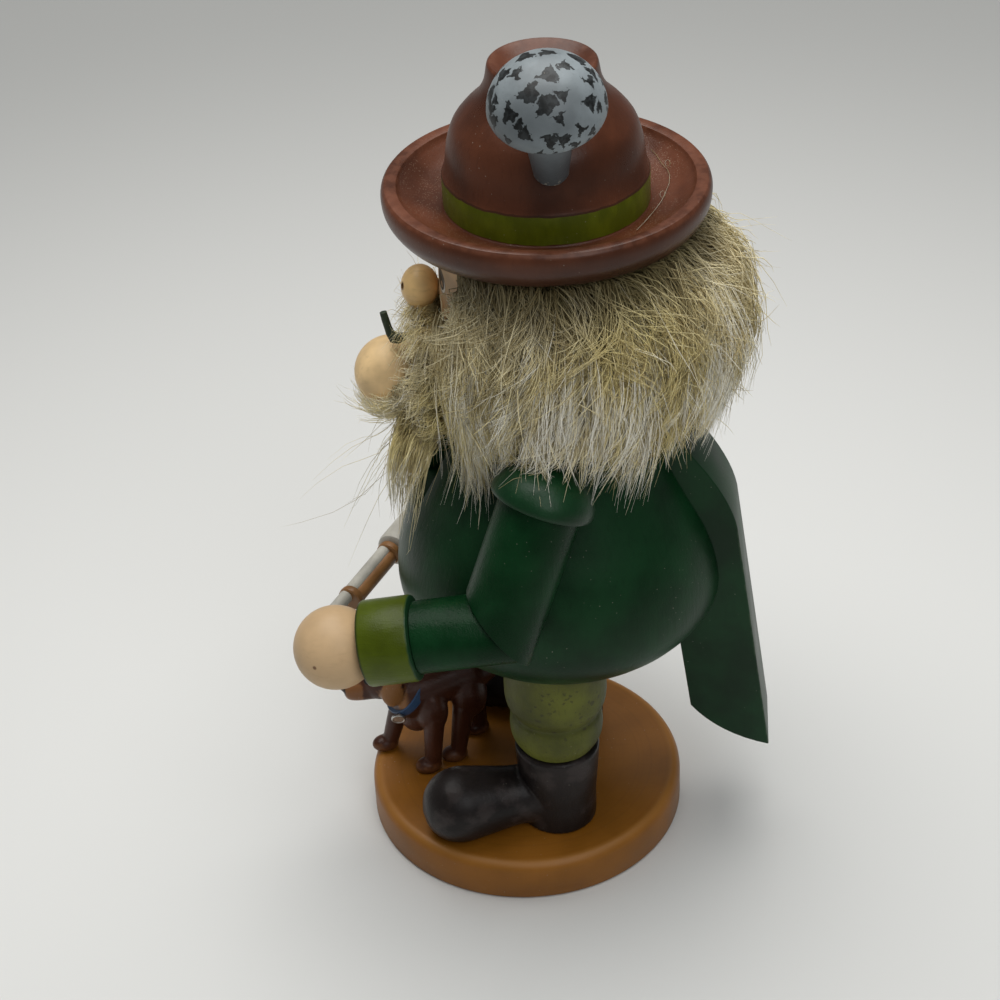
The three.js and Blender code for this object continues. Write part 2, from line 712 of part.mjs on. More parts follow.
// Moustache under the nose and beard under the chin
const moustache = ball(1, at(0, lip - 6.4, palateZ + 2.5), 10, [15, 6.2, 3.8]);
const face = headSkin(glueGap).add(ball(noseRadius + glueGap, noseCentre, 14)).add(twig(glueGap));
add('moustache', moustache.subtract(face), furHair);
const beardBlob = ball(1, at(0, chinCentre.y + 5.5, chinCentre.z - 20.5), 12, [18, 8.5, beardLength / 2]);
const beardCut = egg(glueGap).add(headSkin(glueGap)).add(ball(chinRadius + glueGap, chinCentre, 18));
const jawCut = board(leverOutline, leverWidth + 2 * glueGap).translate(0, 0, -glueGap);
add('beard', beardBlob.subtract(beardCut).subtract(jawCut), furHair);

// Hound: one small casting, its feet on the base between the boots
const trunk = [[0, -8], [5.4, -6], [7.4, 0], [7.4, 8], [8.8, 19], [7.4, 25], [0, 29]];
const dogLeg = (hip, foot) => {
  const along = foot.clone().sub(hip);
  return turned([[0, 0], [3.5, 0], [2.5, along.length()], [0, along.length()]], 8, hip, along);
};
const dogCasting = [
  turned(trunk, 11, at(0, 1, 30), at(0, -20, -4)),
  turned([[0, -4], [8.2, -3], [6.6, 9], [0, 12]], 12, at(0, -17, 25), at(0, -8, 7)),
  ball(1, at(0, -17.5, 18.5), 9, [6.8, 6, 8.4]),
  ball(7.2, at(0, -27.4, 33), 12, [0.95, 1.05, 0.95]),
  turned([[0, -3], [5.2, 0], [3.9, 6], [2.4, 8.6], [0, 9]], 10, at(0, -30.6, 31.6), at(0, -8, -1.2)),
  ball(1.8, at(0, -39, 32.4), 6),
  ball(1, at(6.9, -25.6, 32), 8, [1.7, 3.6, 5.8]),
  ball(1, at(-6.9, -25.6, 32), 8, [1.7, 3.6, 5.8]),
  ball(1, at(4.8, -1.4, 23), 7, [4.4, 5.8, 8.4]),
  ball(1, at(-4.6, 1.6, 23), 7, [4.4, 5.8, 8.4]),
  ball(1, at(6.4, -13.6, 21), 7, [4.4, 5, 8]),
  ball(1, at(-5.6, -18, 20), 7, [4, 5, 8]),
  dogLeg(at(5.2, -3.4, 20), at(5.8, -6.2, 1.4)),
  dogLeg(at(-4.6, 2, 20), at(-4.6, 3.6, 1.4)),
  dogLeg(at(7.6, -13.4, 20), at(8.5, -15, 1.4)),
  dogLeg(at(-5.6, -20.4, 19), at(-5.8, -25.6, 1.4)),
  ball(1, at(5.8, -7.4, 1.4), 6, [3.2, 4.3, 2.6]),
  ball(1, at(-4.6, 2.4, 1.4), 6, [3.2, 4.3, 2.6]),
  ball(1, at(8.5, -16.4, 1.4), 6, [3.2, 4.3, 2.6]),
  ball(1, at(-5.8, -27, 1.4), 6, [3.2, 4.3, 2.6]),
  turned([[0, 0], [2.5, 0.6], [1.9, 5], [1.1, 9], [0, 10]], 7, at(0, 6, 31), at(0, 6, 3)),
].reduce((whole, piece) => whole.add(piece));
const collarAt = at(0, -19.6, 26.6);
const collarLine = at(0, -8, 7);
const band = (inner, outer, half) => turned(
  [[inner, -half], [outer, -half], [outer, half], [inner, half], [inner, -half]],
  18,
  collarAt,
  collarLine,
);
const tagLine = at(0.92, -0.26, -0.295).normalize();
const tagDrop = tagLine.clone().cross(collarLine).normalize();
const tagAt = collarAt.clone().addScaledVector(tagLine, 8.6 + glueGap).addScaledVector(tagDrop, 4);
const tagFace = (s) => tagAt.clone().addScaledVector(tagLine, s);
const tag = bar(2.2, tagAt, tagFace(0.9), 12);
const tagRoom = bar(2.6, tagFace(-glueGap), tagFace(8), 12);
const below = block(at(-60, -60, -20), at(60, 60, 0));
const dogScale = dogHeight / 40;
const dogTurned = new THREE.Matrix4().makeRotationZ(radians(dogTurn));
dogTurned.scale(at(dogScale, dogScale, dogScale));
const dogPlace = dogTurned.setPosition(-7.5, -17.5, footZ).elements;
const dog = dogCasting.subtract(below).subtract(band(6.3, 9, 1.5)).subtract(tagRoom);
add('dog', dog.transform(dogPlace), dogPaint);
add('dog_collar', band(6.6, 8.6, 1.2).transform(dogPlace), collarPaint);
add('dog_tag', tag.transform(dogPlace), tagMetal);

export default figure;
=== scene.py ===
import math
import random

import bmesh
import bpy
from mathutils import Matrix, Vector
from mathutils.geometry import interpolate_bezier


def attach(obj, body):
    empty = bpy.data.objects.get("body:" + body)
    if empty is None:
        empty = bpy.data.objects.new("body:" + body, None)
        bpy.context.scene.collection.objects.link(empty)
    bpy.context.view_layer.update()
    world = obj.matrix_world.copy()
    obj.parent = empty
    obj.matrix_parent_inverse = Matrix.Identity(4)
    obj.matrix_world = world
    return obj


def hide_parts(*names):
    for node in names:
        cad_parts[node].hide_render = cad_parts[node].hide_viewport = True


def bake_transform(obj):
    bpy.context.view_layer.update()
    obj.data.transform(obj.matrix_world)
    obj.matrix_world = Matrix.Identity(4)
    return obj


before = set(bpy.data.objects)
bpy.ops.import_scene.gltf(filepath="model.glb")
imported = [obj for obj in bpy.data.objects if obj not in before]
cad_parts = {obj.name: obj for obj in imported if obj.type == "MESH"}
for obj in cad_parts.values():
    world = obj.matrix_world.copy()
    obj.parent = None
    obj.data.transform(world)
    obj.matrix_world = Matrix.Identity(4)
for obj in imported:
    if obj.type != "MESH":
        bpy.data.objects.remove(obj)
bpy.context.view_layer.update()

scene = bpy.context.scene
scene.view_settings.view_transform = "Standard"


# Studio. The figure stands on pale paper, painted darker out to about 0.7 m from it as shade where the far
# paper gets less light, and paler again far out, and the camera looks down on its left side. A big soft
# lamp hangs above it, a weak one stands behind the camera, to its right, and the room's own light comes
# from all round.

def linked(name, data):
    """A new object in the scene."""
    made = bpy.data.objects.new(name, data)
    scene.collection.objects.link(made)
    return made


camera = bpy.data.cameras.new("camera")
camera.sensor_width = 36.0
camera.lens = 78.8
camera_stand = linked("camera", camera)
scene.camera = camera_stand
camera_at = Vector((0.51255, 0.05172, 0.47388))
yaw, pitch, roll = math.radians(6.246), math.radians(35.064), math.radians(-2.773)
ahead = Vector((-math.cos(yaw) * math.cos(pitch), -math.sin(yaw) * math.cos(pitch), -math.sin(pitch)))
level = ahead.cross(Vector((0, 0, 1))).normalized()
upright = level.cross(ahead)
right = math.cos(roll) * level + math.sin(roll) * upright
upward = -math.sin(roll) * level + math.cos(roll) * upright
camera_stand.matrix_world = Matrix.Translation(camera_at) @ Matrix((right, upward, -ahead)).transposed().to_4x4()


class Wire:
    """A socket in a material, so that shader maths can be written as an expression."""

    def __init__(self, tree, socket):
        self.tree = tree
        self.socket = socket

    def node(self, kind, settings=None, sockets=None, out=0):
        made = self.tree.nodes.new(kind)
        for key, value in (settings or {}).items():
            setattr(made, key, value)
        for key, value in (sockets or {}).items():
            if isinstance(value, Wire):
                self.tree.links.new(value.socket, made.inputs[key])
            else:
                made.inputs[key].default_value = value
        return Wire(self.tree, made.outputs[out])

    def maths(self, operation, *values):
        return self.node("ShaderNodeMath", {"operation": operation}, dict(enumerate(values)))

    def __add__(self, other):
        return self.maths("ADD", self, other)

    def __sub__(self, other):
        return self.maths("SUBTRACT", self, other)

    def __rsub__(self, other):
        return self.maths("SUBTRACT", other, self)

    def __mul__(self, other):
        return self.maths("MULTIPLY", self, other)

    def __lt__(self, other):
        return self.maths("LESS_THAN", self, other)

    def __gt__(self, other):
        return self.maths("GREATER_THAN", self, other)

    __radd__ = __add__
    __rmul__ = __mul__

    def into(self, node, socket):
        self.tree.links.new(self.socket, node.inputs[socket])


def vector(operation, *values, out=0):
    """Vector maths. Output 1 holds the plain number of a length, distance or dot product."""
    return values[0].node("ShaderNodeVectorMath", {"operation": operation}, dict(enumerate(values)), out)


def soften(value, low, high):
    """0 below low, 1 above high, smooth between."""
    return value.node("ShaderNodeMapRange", {"interpolation_type": "SMOOTHSTEP"},
                      {"Value": value, "From Min": low, "From Max": high})


def mix(mask, under, over):
    """Colour under, with colour over it where the mask is 1."""
    def rgba(colour):
        return colour if isinstance(colour, Wire) else (*colour, 1)
    return mask.node("ShaderNodeMix", {"data_type": "RGBA"}, {0: mask, 6: rgba(under), 7: rgba(over)}, out=2)


def new_finish(name):
    material = bpy.data.materials.new(name)
    material.use_nodes = True
    shader = material.node_tree.nodes["Principled BSDF"]
    coordinates = material.node_tree.nodes.new("ShaderNodeTexCoord")
    return material, shader, Wire(material.node_tree, coordinates.outputs["Object"])


def meshed(name, shape):
    mesh = bpy.data.meshes.new(name)
    shape.to_mesh(mesh)
    return mesh


paper, paper_shader, paper_place = new_finish("paper")
from_figure = vector("LENGTH", paper_place, out=1)
# Painted shade: the paper darkens between 0.10 m and 0.68 m out from the figure, for the dimmer far paper.
paper_with_painted_shade = mix(soften(from_figure, 0.10, 0.68), (0.66, 0.665, 0.65), (0.39, 0.395, 0.385))
mix(soften(from_figure, 0.95, 2.2), paper_with_painted_shade, (0.90, 0.905, 0.89)).into(paper_shader, "Base Color")
paper_shader.inputs["Roughness"].default_value = 0.85
sheet = bmesh.new()
bmesh.ops.create_circle(sheet, cap_ends=True, segments=96, radius=5.0)
floor = linked("floor", meshed("floor", sheet))
floor.data.materials.append(paper)

room = bpy.data.worlds.new("room")
room.use_nodes = True
room_light = room.node_tree.nodes["Background"].inputs
room_light["Color"].default_value = (0.93, 0.96, 1.0, 1)
room_light["Strength"].default_value = 0.16
scene.world = room


def soft_lamp(name, place, towards, size, watts, colour):
    lamp = bpy.data.lights.new(name, "AREA")
    lamp.shape = "DISK"
    lamp.size = size
    lamp.energy = watts
    lamp.color = colour
    stand = linked(name, lamp)
    aim = (Vector(towards) - Vector(place)).to_track_quat("-Z", "Y")
    stand.matrix_world = Matrix.Translation(place) @ aim.to_matrix().to_4x4()


soft_lamp("window", (-0.20, -0.06, 1.32), (0, 0, 0.1), 1.5, 21.0, (1.0, 0.985, 0.96))
soft_lamp("bounce", (0.85, 0.45, 1.0), (0, 0, 0.12), 0.9, 4.0, (0.97, 0.985, 1.0))


# Base. A turned disc of wood with a rounded upper edge, under satin ochre paint that lets the rings of the
# turning show. It is paler along the rounded edge, partly rubbed and partly a painted highlight. The legs are
# doweled into it.

def turn(profile, steps=96):
    """A piece turned on a lathe: radius and height pairs in millimetres, spun about Z."""
    shape = bmesh.new()
    rim = [shape.verts.new((r / 1000, 0, z / 1000)) for r, z in profile]
    line = [shape.edges.new(pair) for pair in zip(rim, rim[1:])]
    bmesh.ops.spin(shape, geom=rim + line, cent=(0, 0, 0), axis=(0, 0, 1), dvec=(0, 0, 0),
                   angle=math.tau, steps=steps, use_merge=True)
    bmesh.ops.remove_doubles(shape, verts=shape.verts, dist=1e-6)
    bmesh.ops.recalc_face_normals(shape, faces=shape.faces)
    return shape


def piece(name, shape, material, slot, body, *nodes, crease=32):
    """Makes a shape a finished piece: smooth faces, creased edges, its paint, and the body it rides on."""
    for face in shape.faces:
        face.smooth = True
    for edge in shape.edges:
        edge.smooth = len(edge.link_faces) == 2 and edge.calc_face_angle(0) < math.radians(crease)
    made = linked(name, meshed(name, shape))
    shape.free()
    made.data.materials.append(material)
    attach(made, body)
    if nodes:
        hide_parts(*nodes)
    return made


def grainy(place, scale, detail=3.0, stretch=(1, 1, 1)):
    """Soft noise, drawn out along an axis where its stretch is small."""
    drawn = place.node("ShaderNodeMapping", sockets={"Vector": place, "Scale": stretch})
    return place.node("ShaderNodeTexNoise", sockets={"Vector": drawn, "Scale": scale, "Detail": detail})


def crumbs(place, scale):
    """Scattered spots: how far a place lies from the middle of the nearest one."""
    return place.node("ShaderNodeTexVoronoi", sockets={"Vector": place, "Scale": scale, "Randomness": 1.0})


def emboss(shader, height, strength, depth):
    """Fine relief, in metres, that only the light sees."""
    sockets = {"Strength": strength, "Distance": depth, "Height": height}
    height.node("ShaderNodeBump", sockets=sockets).into(shader, "Normal")


def painted(name, tone, rough, grain=(1, 1, 0.12), dust=0.0, marks=None, wear_and_highlight=None,
            relief=0.00006, shine=0.3, mottle=1.0):
    """Painted wood: mottled colour, grain showing through as streaks, dust, brush marks, wear and painted highlights.
    """
    material, shader, place = new_finish(name)
    blotch = grainy(place, 55, 4)
    streak = grainy(place, 900, 4, grain)
    fine = grainy(place, 2600, 2)
    deep = tuple(c * (1 - 0.38 * mottle) for c in tone)
    pale = tuple(min(1, c * (1 + 0.28 * mottle) + 0.002) for c in tone)
    colour = mix(soften(blotch, 0.3, 0.72), deep, pale)
    colour = mix(soften(streak, 0.52, 0.8) * 0.35, colour, deep)
    if marks:
        colour = marks(place, colour)
    if wear_and_highlight:
        mask, under = wear_and_highlight(place)
        colour = mix(mask * soften(grainy(place, 260, 5), 0.42, 0.62), colour, under)
    gloss = rough + (blotch - 0.5) * 0.22 + (fine - 0.5) * 0.12
    if dust:
        speck = (crumbs(place, 520) < 0.085) * soften(grainy(place, 70, 3), 0.46, 0.66) * dust
        colour = mix(speck, colour, (0.55, 0.50, 0.42))
        gloss = gloss + speck * 0.3
    colour.into(shader, "Base Color")
    gloss.into(shader, "Roughness")
    shader.inputs["Specular IOR Level"].default_value = shine
    emboss(shader, streak * 0.7 + fine * 0.5 + blotch * 0.8, 0.55, relief)
    return material


def from_axis(place, y=0.0):
    """How far a place lies from an upright axis through X = 0 and Y."""
    return vector("LENGTH", vector("MULTIPLY", vector("SUBTRACT", place, (0, y, 0)), (1, 1, 0)), out=1)


def base_marks(place, colour):
    radius = from_axis(place)
    rings = place.node("ShaderNodeTexNoise", {"noise_dimensions": "1D"}, {"W": radius, "Scale": 700.0, "Detail": 3.0})
    colour = mix(soften(rings, 0.5, 0.75) * 0.14, colour, (0.13, 0.048, 0.008))
    # Paler band on the rounded edge: part wear, part painted highlight where the edge meets the light.
    edge = soften(radius, 0.0442, 0.0460) * (1 - soften(radius, 0.0466, 0.048))
    return mix(edge * 0.35, colour, (0.46, 0.22, 0.06))


base_radius = 48.0
base_height = 13.2
edge_round = 3.0
rounded = [(base_radius + edge_round * (math.cos(a * math.pi / 16) - 1),
            base_height + edge_round * (math.sin(a * math.pi / 16) - 1)) for a in range(9)]
base = turn([(0, 0), (47.0, 0), (47.6, 0.25), (base_radius, 0.9), *rounded, (0, base_height)], 128)
base_paint = painted("base_paint", (0.262, 0.098, 0.0075), 0.42, (1, 0.1, 1), 0.3, base_marks, mottle=0.4)
piece("base_disc", base, base_paint, "base_brown", "figure", "base")


# Boots. Each is a turned shaft with a bulbous toe glued to its front, filled at the joint, under brushed
# black paint that dried in satin and matt patches. The leg's dowel runs down through the shaft.

def flowing(points, steps):
    """More points along a smooth line through a few."""
    knots = [Vector((*p, 0)) for p in points]
    ends = [knots[0] * 2 - knots[1], *knots, knots[-1] * 2 - knots[-2]]
    line = []
    for before, start, end, after in zip(ends, ends[1:], ends[2:], ends[3:]):
        line += interpolate_bezier(start, start + (end - before) / 6, end - (after - start) / 6, end, steps)[:-1]
    return [tuple(p[:2]) for p in [*line, knots[-1]]]


def move(shape, point, along=(0, 0, 1)):
    """Stands a shape on a point in millimetres, with its Z axis along a direction."""
    stand = Vector((0, 0, 1)).rotation_difference(Vector(along)).to_matrix().to_4x4()
    bmesh.ops.transform(shape, matrix=Matrix.Translation(Vector(point) / 1000) @ stand, verts=shape.verts)
    return shape


def settled(thing):
    """The mesh that an object's modifiers or curves end in. The object itself goes."""
    bpy.context.view_layer.update()
    mesh = bpy.data.meshes.new_from_object(thing.evaluated_get(bpy.context.evaluated_depsgraph_get()))
    bpy.data.objects.remove(thing)
    return mesh


def melt(shape, voxel, rounds):
    """Joins overlapping forms into one skin and softens the joints, as filler and thick paint do."""
    rough = linked("rough", meshed("rough", shape))
    skin = rough.modifiers.new("skin", "REMESH")
    skin.mode = "VOXEL"
    skin.voxel_size = voxel / 1000
    ease = rough.modifiers.new("ease", "SMOOTH")
    ease.factor = 0.5
    ease.iterations = rounds
    shape.clear()
    shape.from_mesh(settled(rough))
    return shape


def join(shape, *others):
    """Adds other shapes' faces to a shape."""
    for other in others:
        mesh = meshed("joined", other)
        other.free()
        shape.from_mesh(mesh)
        bpy.data.meshes.remove(mesh)
    return shape


def saw_off(shape, point, normal):
    """Saws a shape through a point in millimetres, keeps the side the normal points to and closes the cut."""
    cut = bmesh.ops.bisect_plane(shape, geom=[*shape.verts, *shape.edges, *shape.faces], dist=1e-6,
                                 plane_co=Vector(point) / 1000, plane_no=normal, clear_inner=True)
    rim = [e for e in cut["geom_cut"] if isinstance(e, bmesh.types.BMEdge)]
    return bmesh.ops.holes_fill(shape, edges=rim, sides=0)["faces"]


def boot_marks(place, colour):
    patch = soften(grainy(place, 130, 4), 0.5, 0.66)
    return mix(patch * 0.8, colour, (0.040, 0.031, 0.029))


setback = 11.7
leg_spread = 22.9
toe_splay = math.radians(16.4)
shaft_line = [(0, 0), (11.0, 0), (11.35, 0.4), (11.4, 10), (12.3, 22), (12.6, 27.4), (12.4, 28.2), (11.7, 28.5),
              (0, 28.5)]
toe_line = flowing([(9.2, 4), (9.0, 13.7), (10.6, 23.7), (11.4, 30.4), (9.9, 36.1), (5.7, 40.3), (0, 41.8)], 5)
boot_paint = painted("boot_paint", (0.015, 0.011, 0.010), 0.36, (1, 1, 1), 0.25, boot_marks,
                     relief=0.00022, shine=0.22)
for side_name, side in (("left", 1), ("right", -1)):
    sole = (side * leg_spread, setback, base_height + 0.1)
    shaft = move(turn(shaft_line, 48), sole)
    splay = toe_splay * side
    toe = move(turn([(0, 4), *toe_line], 48), (side * leg_spread, setback, base_height + 9.1),
               (math.sin(splay), -math.cos(splay), 0))
    boot = melt(join(shaft, toe), 0.55, 7)
    saw_off(boot, sole, (0, 0, 1))
    piece(f"{side_name}_boot", boot, boot_paint, "boot_black", "figure",
          f"{side_name}_boot_shaft", f"{side_name}_boot_toe")


# Stockings. Turned legs with a rolled upper half, in matt yellow-green paint spattered with dark flecks,
# thickest in the fold. The crease between the rolls is painted darker as shade. Their tops sit in seats
# bored up into the body.

def part(place, axis):
    """One of X, Y or Z of a vector."""
    return place.node("ShaderNodeSeparateXYZ", sockets={0: place}, out="XYZ".index(axis))


def stocking_marks(place, colour):
    drift = place.node("ShaderNodeTexNoise", sockets={"Vector": place, "Scale": 900.0, "Detail": 2.0}, out=1)
    torn = vector("MULTIPLY_ADD", drift, (0.0016, 0.0016, 0.0016), place)
    height = part(place, "Z")
    fold = soften(height, 0.044, 0.054) * 0.5 + 0.5
    crowd = soften(grainy(place, 130, 4), 0.42, 0.56)
    flecks = (1 - soften(crumbs(torn, 480) - grainy(place, 300, 2) * 0.5, -0.06, 0.06)) * crowd * fold
    specks = (crumbs(place, 1500) < 0.30) * soften(grainy(place, 90, 3), 0.46, 0.58)
    # Painted shade: a darker band in the crease between the rolls.
    crease = soften(height, 0.0530, 0.0545) * (1 - soften(height, 0.0555, 0.0570))
    colour = mix(crease * 0.4, colour, (0.045, 0.050, 0.006))
    colour = mix(specks * 0.55, colour, (0.06, 0.055, 0.016))
    return mix(flecks * 0.62, colour, (0.024, 0.016, 0.008))


leg_line = flowing([(11.4, 0), (13.2, 3.4), (13.75, 7.2), (13.4, 10.6), (12.75, 12.4), (13.5, 14.1), (14.6, 16.4),
                    (15, 19.5)], 5)
stocking_paint = painted("stocking_paint", (0.098, 0.106, 0.0105), 0.55, (1, 1, 0.3), 0.3, stocking_marks,
                         relief=0.0003, mottle=1.3)
for side_name, side in (("left", 1), ("right", -1)):
    leg = turn([(0, 0), *leg_line, (15, 34.4), (14.7, 34.7), (0, 34.7)], 72)
    move(leg, (side * leg_spread, setback, 42.3))
    piece(f"{side_name}_leg", leg, stocking_paint, "stocking", "figure", f"{side_name}_stocking")


# Body. A fat egg of turned wood in dark green satin paint, sawn through from front to back for the lever,
# with bored seats for the legs and a cross hole for the pivot pin.

def cut_away(shape, *tools):
    """The shape less the tools, with the saw cuts and borings clean."""
    stock = linked("stock", meshed("stock", shape))
    cutters = [linked("tool", meshed("tool", tool)) for tool in tools]
    for cutter in cutters:
        away = stock.modifiers.new("away", "BOOLEAN")
        away.operation = "DIFFERENCE"
        away.solver = "EXACT"
        away.object = cutter
    shape.clear()
    shape.from_mesh(settled(stock))
    for cutter in cutters:
        bpy.data.objects.remove(cutter)
    return shape


def board(outline, width):
    """A board sawn to an outline of Y and Z pairs in millimetres, centred on X = 0."""
    shape = bmesh.new()
    face = shape.faces.new([shape.verts.new((-width / 2000, y / 1000, z / 1000)) for y, z in outline])
    grown = bmesh.ops.extrude_face_region(shape, geom=[face])
    bmesh.ops.translate(shape, vec=(width / 1000, 0, 0),
                        verts=[v for v in grown["geom"] if isinstance(v, bmesh.types.BMVert)])
    bmesh.ops.recalc_face_normals(shape, faces=shape.faces)
    return shape


def bend(start, pull, end):
    """Points of a bent line from start towards end, drawn to one side by a pull point."""
    steps = [k / 8 for k in range(8)]
    return [tuple((1 - t) ** 2 * a + 2 * t * (1 - t) * b + t * t * c for a, b, c in zip(start, pull, end))
            for t in steps]


def rod(radius, start, end, steps=32):
    """A plain round bar between two points in millimetres, as a boring tool or a dowel."""
    along = Vector(end) - Vector(start)
    return move(turn([(0, 0), (radius, 0), (radius, along.length), (0, along.length)], steps), start, along)


body_foot = 61.0
body_tall = 87.0
body_girth = 47.4
body_axis = setback + 0.9
egg_line = [(r * body_girth, body_foot + z * body_tall) for r, z in flowing([
    (0.30, 0), (0.58, 0.08), (0.82, 0.172), (0.955, 0.262), (1, 0.356), (0.978, 0.471), (0.912, 0.586), (0.819, 0.69),
    (0.72, 0.805), (0.647, 0.908), (0.614, 1)], 4)]


def egg(extra=0.0):
    grown = [(r + extra, z) for r, z in egg_line]
    return move(turn([(0, body_foot - extra), *grown, (0, body_foot + body_tall)], 128), (0, body_axis, 0))


pivot = (16.0, 140.0)
glue_gap = 0.3
pin_bore = 2.1
leg_bore = 15 + glue_gap
lever_slot = 23.1
slot_line = [(-150, 115.3), (-21.5, 115.3), (-15.5, 123), *bend((23, 125), (38, 125), (40, 111.3)), (40, 111.3),
             (55.4, 0), (150, 0), (150, 400), (-150, 400)]
coat_green = (0.0024, 0.0310, 0.0080)
coat_paint = painted("coat_paint", coat_green, 0.36, (1, 1, 0.08), 0.3, relief=0.0002, shine=0.17)
body = cut_away(
    egg(), board(slot_line, lever_slot),
    *[rod(leg_bore, (s * leg_spread, setback, 40), (s * leg_spread, setback, 77.3), 64) for s in (1, -1)],
    rod(pin_bore, (-80, *pivot), (80, *pivot)),
)
piece("coat_body", body, coat_paint, "coat_green", "figure", "body")


# Jaw lever. One board sawn to shape and turning on a pin across the body: its front end is the lower jaw,
# its long tail behind is the handle, cut as a coat-tail. Green as the coat, paler along the tail's edges, partly
# rubbed and partly a painted highlight.

def absolute(value):
    return value.maths("ABSOLUTE", value)


def lever_wear_and_highlight(place):
    along, height = part(place, "Y"), part(place, "Z")
    outer = (along - 0.0636) * 0.9905 + (height - 0.1113) * 0.1374
    inner = (0.0420 - along) * 0.9905 + (0.1113 - height) * 0.1374
    outline = place.maths("MAXIMUM", soften(outer, -0.0007, -0.0001), soften(inner, -0.0007, -0.0001))
    # Paler green along the tail's edges: part rubbed wear, part painted highlight.
    corner = soften(absolute(part(place, "X")), 0.0104, 0.0111) * outline * (1 - soften(height, 0.100, 0.125))
    return corner * 0.7, (0.048, 0.078, 0.042)


lever_line = [(-24, 165), *bend((3.7, 165), (18, 165), (28, 154)), *bend((28, 154), (44, 145), (52.4, 133)),
              *bend((52.4, 133), (61.6, 121), (63.6, 111.3)), (63.6, 111.3), (74.73, 31.07),
              *bend((74.73, 31.07), (59.7, 34.6), (51.1, 45.8))[1:], (51.1, 45.8),
              *bend((42, 111.3), (40, 128), (24, 128)), *bend((14, 128), (0, 129), (-24, 147)), (-24, 147)]
lever = board(lever_line, 22.5)
sharp = [e for e in lever.edges if e.calc_face_angle(0) > math.radians(40)]
bmesh.ops.bevel(lever, geom=sharp, offset=0.0005, segments=3, profile=0.5, affect="EDGES", material=-1,
                clamp_overlap=True)
cut_away(lever, rod(pin_bore, (-20, *pivot), (20, *pivot)))
lever_paint = painted("lever_paint", coat_green, 0.42, (1, 1, 0.06), 0.2, wear_and_highlight=lever_wear_and_highlight, shine=0.2)
piece("lever", lever, lever_paint, "coat_green", "jaw", "jaw_lever", crease=28)


# Hidden joinery. Dowels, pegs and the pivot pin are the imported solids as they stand: bare beech with its
# grain along the rod, and drawn steel wire for the pin.

def beech(name, stretch):
    material, shader, place = new_finish(name)
    streak = grainy(place, 700, 5, stretch)
    fleck = grainy(place, 2400, 2, tuple(0.3 + 0.7 * c for c in stretch))
    mix(soften(streak, 0.35, 0.7), (0.62, 0.40, 0.19), (0.40, 0.235, 0.095)).into(shader, "Base Color")
    (0.62 + (fleck - 0.5) * 0.25).into(shader, "Roughness")
    emboss(shader, streak, 0.5, 0.0001)
    return material


beech_upright = beech("beech_upright", (1, 1, 0.06))
beech_forward = beech("beech_forward", (1, 0.06, 1))
beech_across = beech("beech_across", (0.06, 1, 1))
wire_steel, wire_shader, wire_place = new_finish("wire_steel")
drawn_lines = grainy(wire_place, 3000, 3, (0.02, 1, 1))
mix(drawn_lines, (0.36, 0.36, 0.37), (0.60, 0.60, 0.61)).into(wire_shader, "Base Color")
(0.22 + drawn_lines * 0.2).into(wire_shader, "Roughness")
wire_shader.inputs["Metallic"].default_value = 1.0
for endings, rod_material in ((("leg_dowel", "neck_dowel", "hat_dowel"), beech_upright), ("arm_dowel", beech_across),
                              (("wrist_dowel", "peg"), beech_forward), ("pivot_pin", wire_steel)):
    for node, rod_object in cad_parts.items():
        if node.endswith(endings):
            rod_object.data.materials.clear()
            rod_object.data.materials.append(rod_material)


# Chin. A turned ball, flattened behind and pegged to the front of the lever, in flesh paint over a grain
# that still shows as faint rings.

def ball(radius, centre, stretch=(1, 1, 1), rings=32):
    shape = bmesh.new()
    bmesh.ops.create_uvsphere(shape, u_segments=rings * 2, v_segments=rings, radius=radius / 1000)
    bmesh.ops.scale(shape, vec=stretch, verts=shape.verts)
    bmesh.ops.translate(shape, vec=Vector(centre) / 1000, verts=shape.verts)
    return shape


def block(low, high):
    shape = bmesh.new()
    bmesh.ops.create_cube(shape, size=1.0)
    size = (Vector(high) - Vector(low)) / 1000
    bmesh.ops.scale(shape, vec=size, verts=shape.verts)
    bmesh.ops.translate(shape, vec=(Vector(high) + Vector(low)) / 2000, verts=shape.verts)
    return shape


chin_centre = (0, -33.0, 155.3)
lever_front = -24.3
peg_bore = 2.3
chin = cut_away(ball(10.2, chin_centre), block((-20, lever_front, 130), (20, 10, 180)),
                rod(peg_bore, (0, -30.3, 155.3), (0, -20, 155.3)))
chin_paint = painted("chin_paint", (0.79, 0.555, 0.285), 0.46, (1, 0.1, 1), 0.15)
piece("chin", chin, chin_paint, "skin", "jaw", "chin_ball")


# Head. A turned block in flesh paint, slotted below the palate for the jaw and doweled to the body. The
# eyes are painted on it under the brim: a dark outline, a white, a brown iris and a ruddy cheek below.

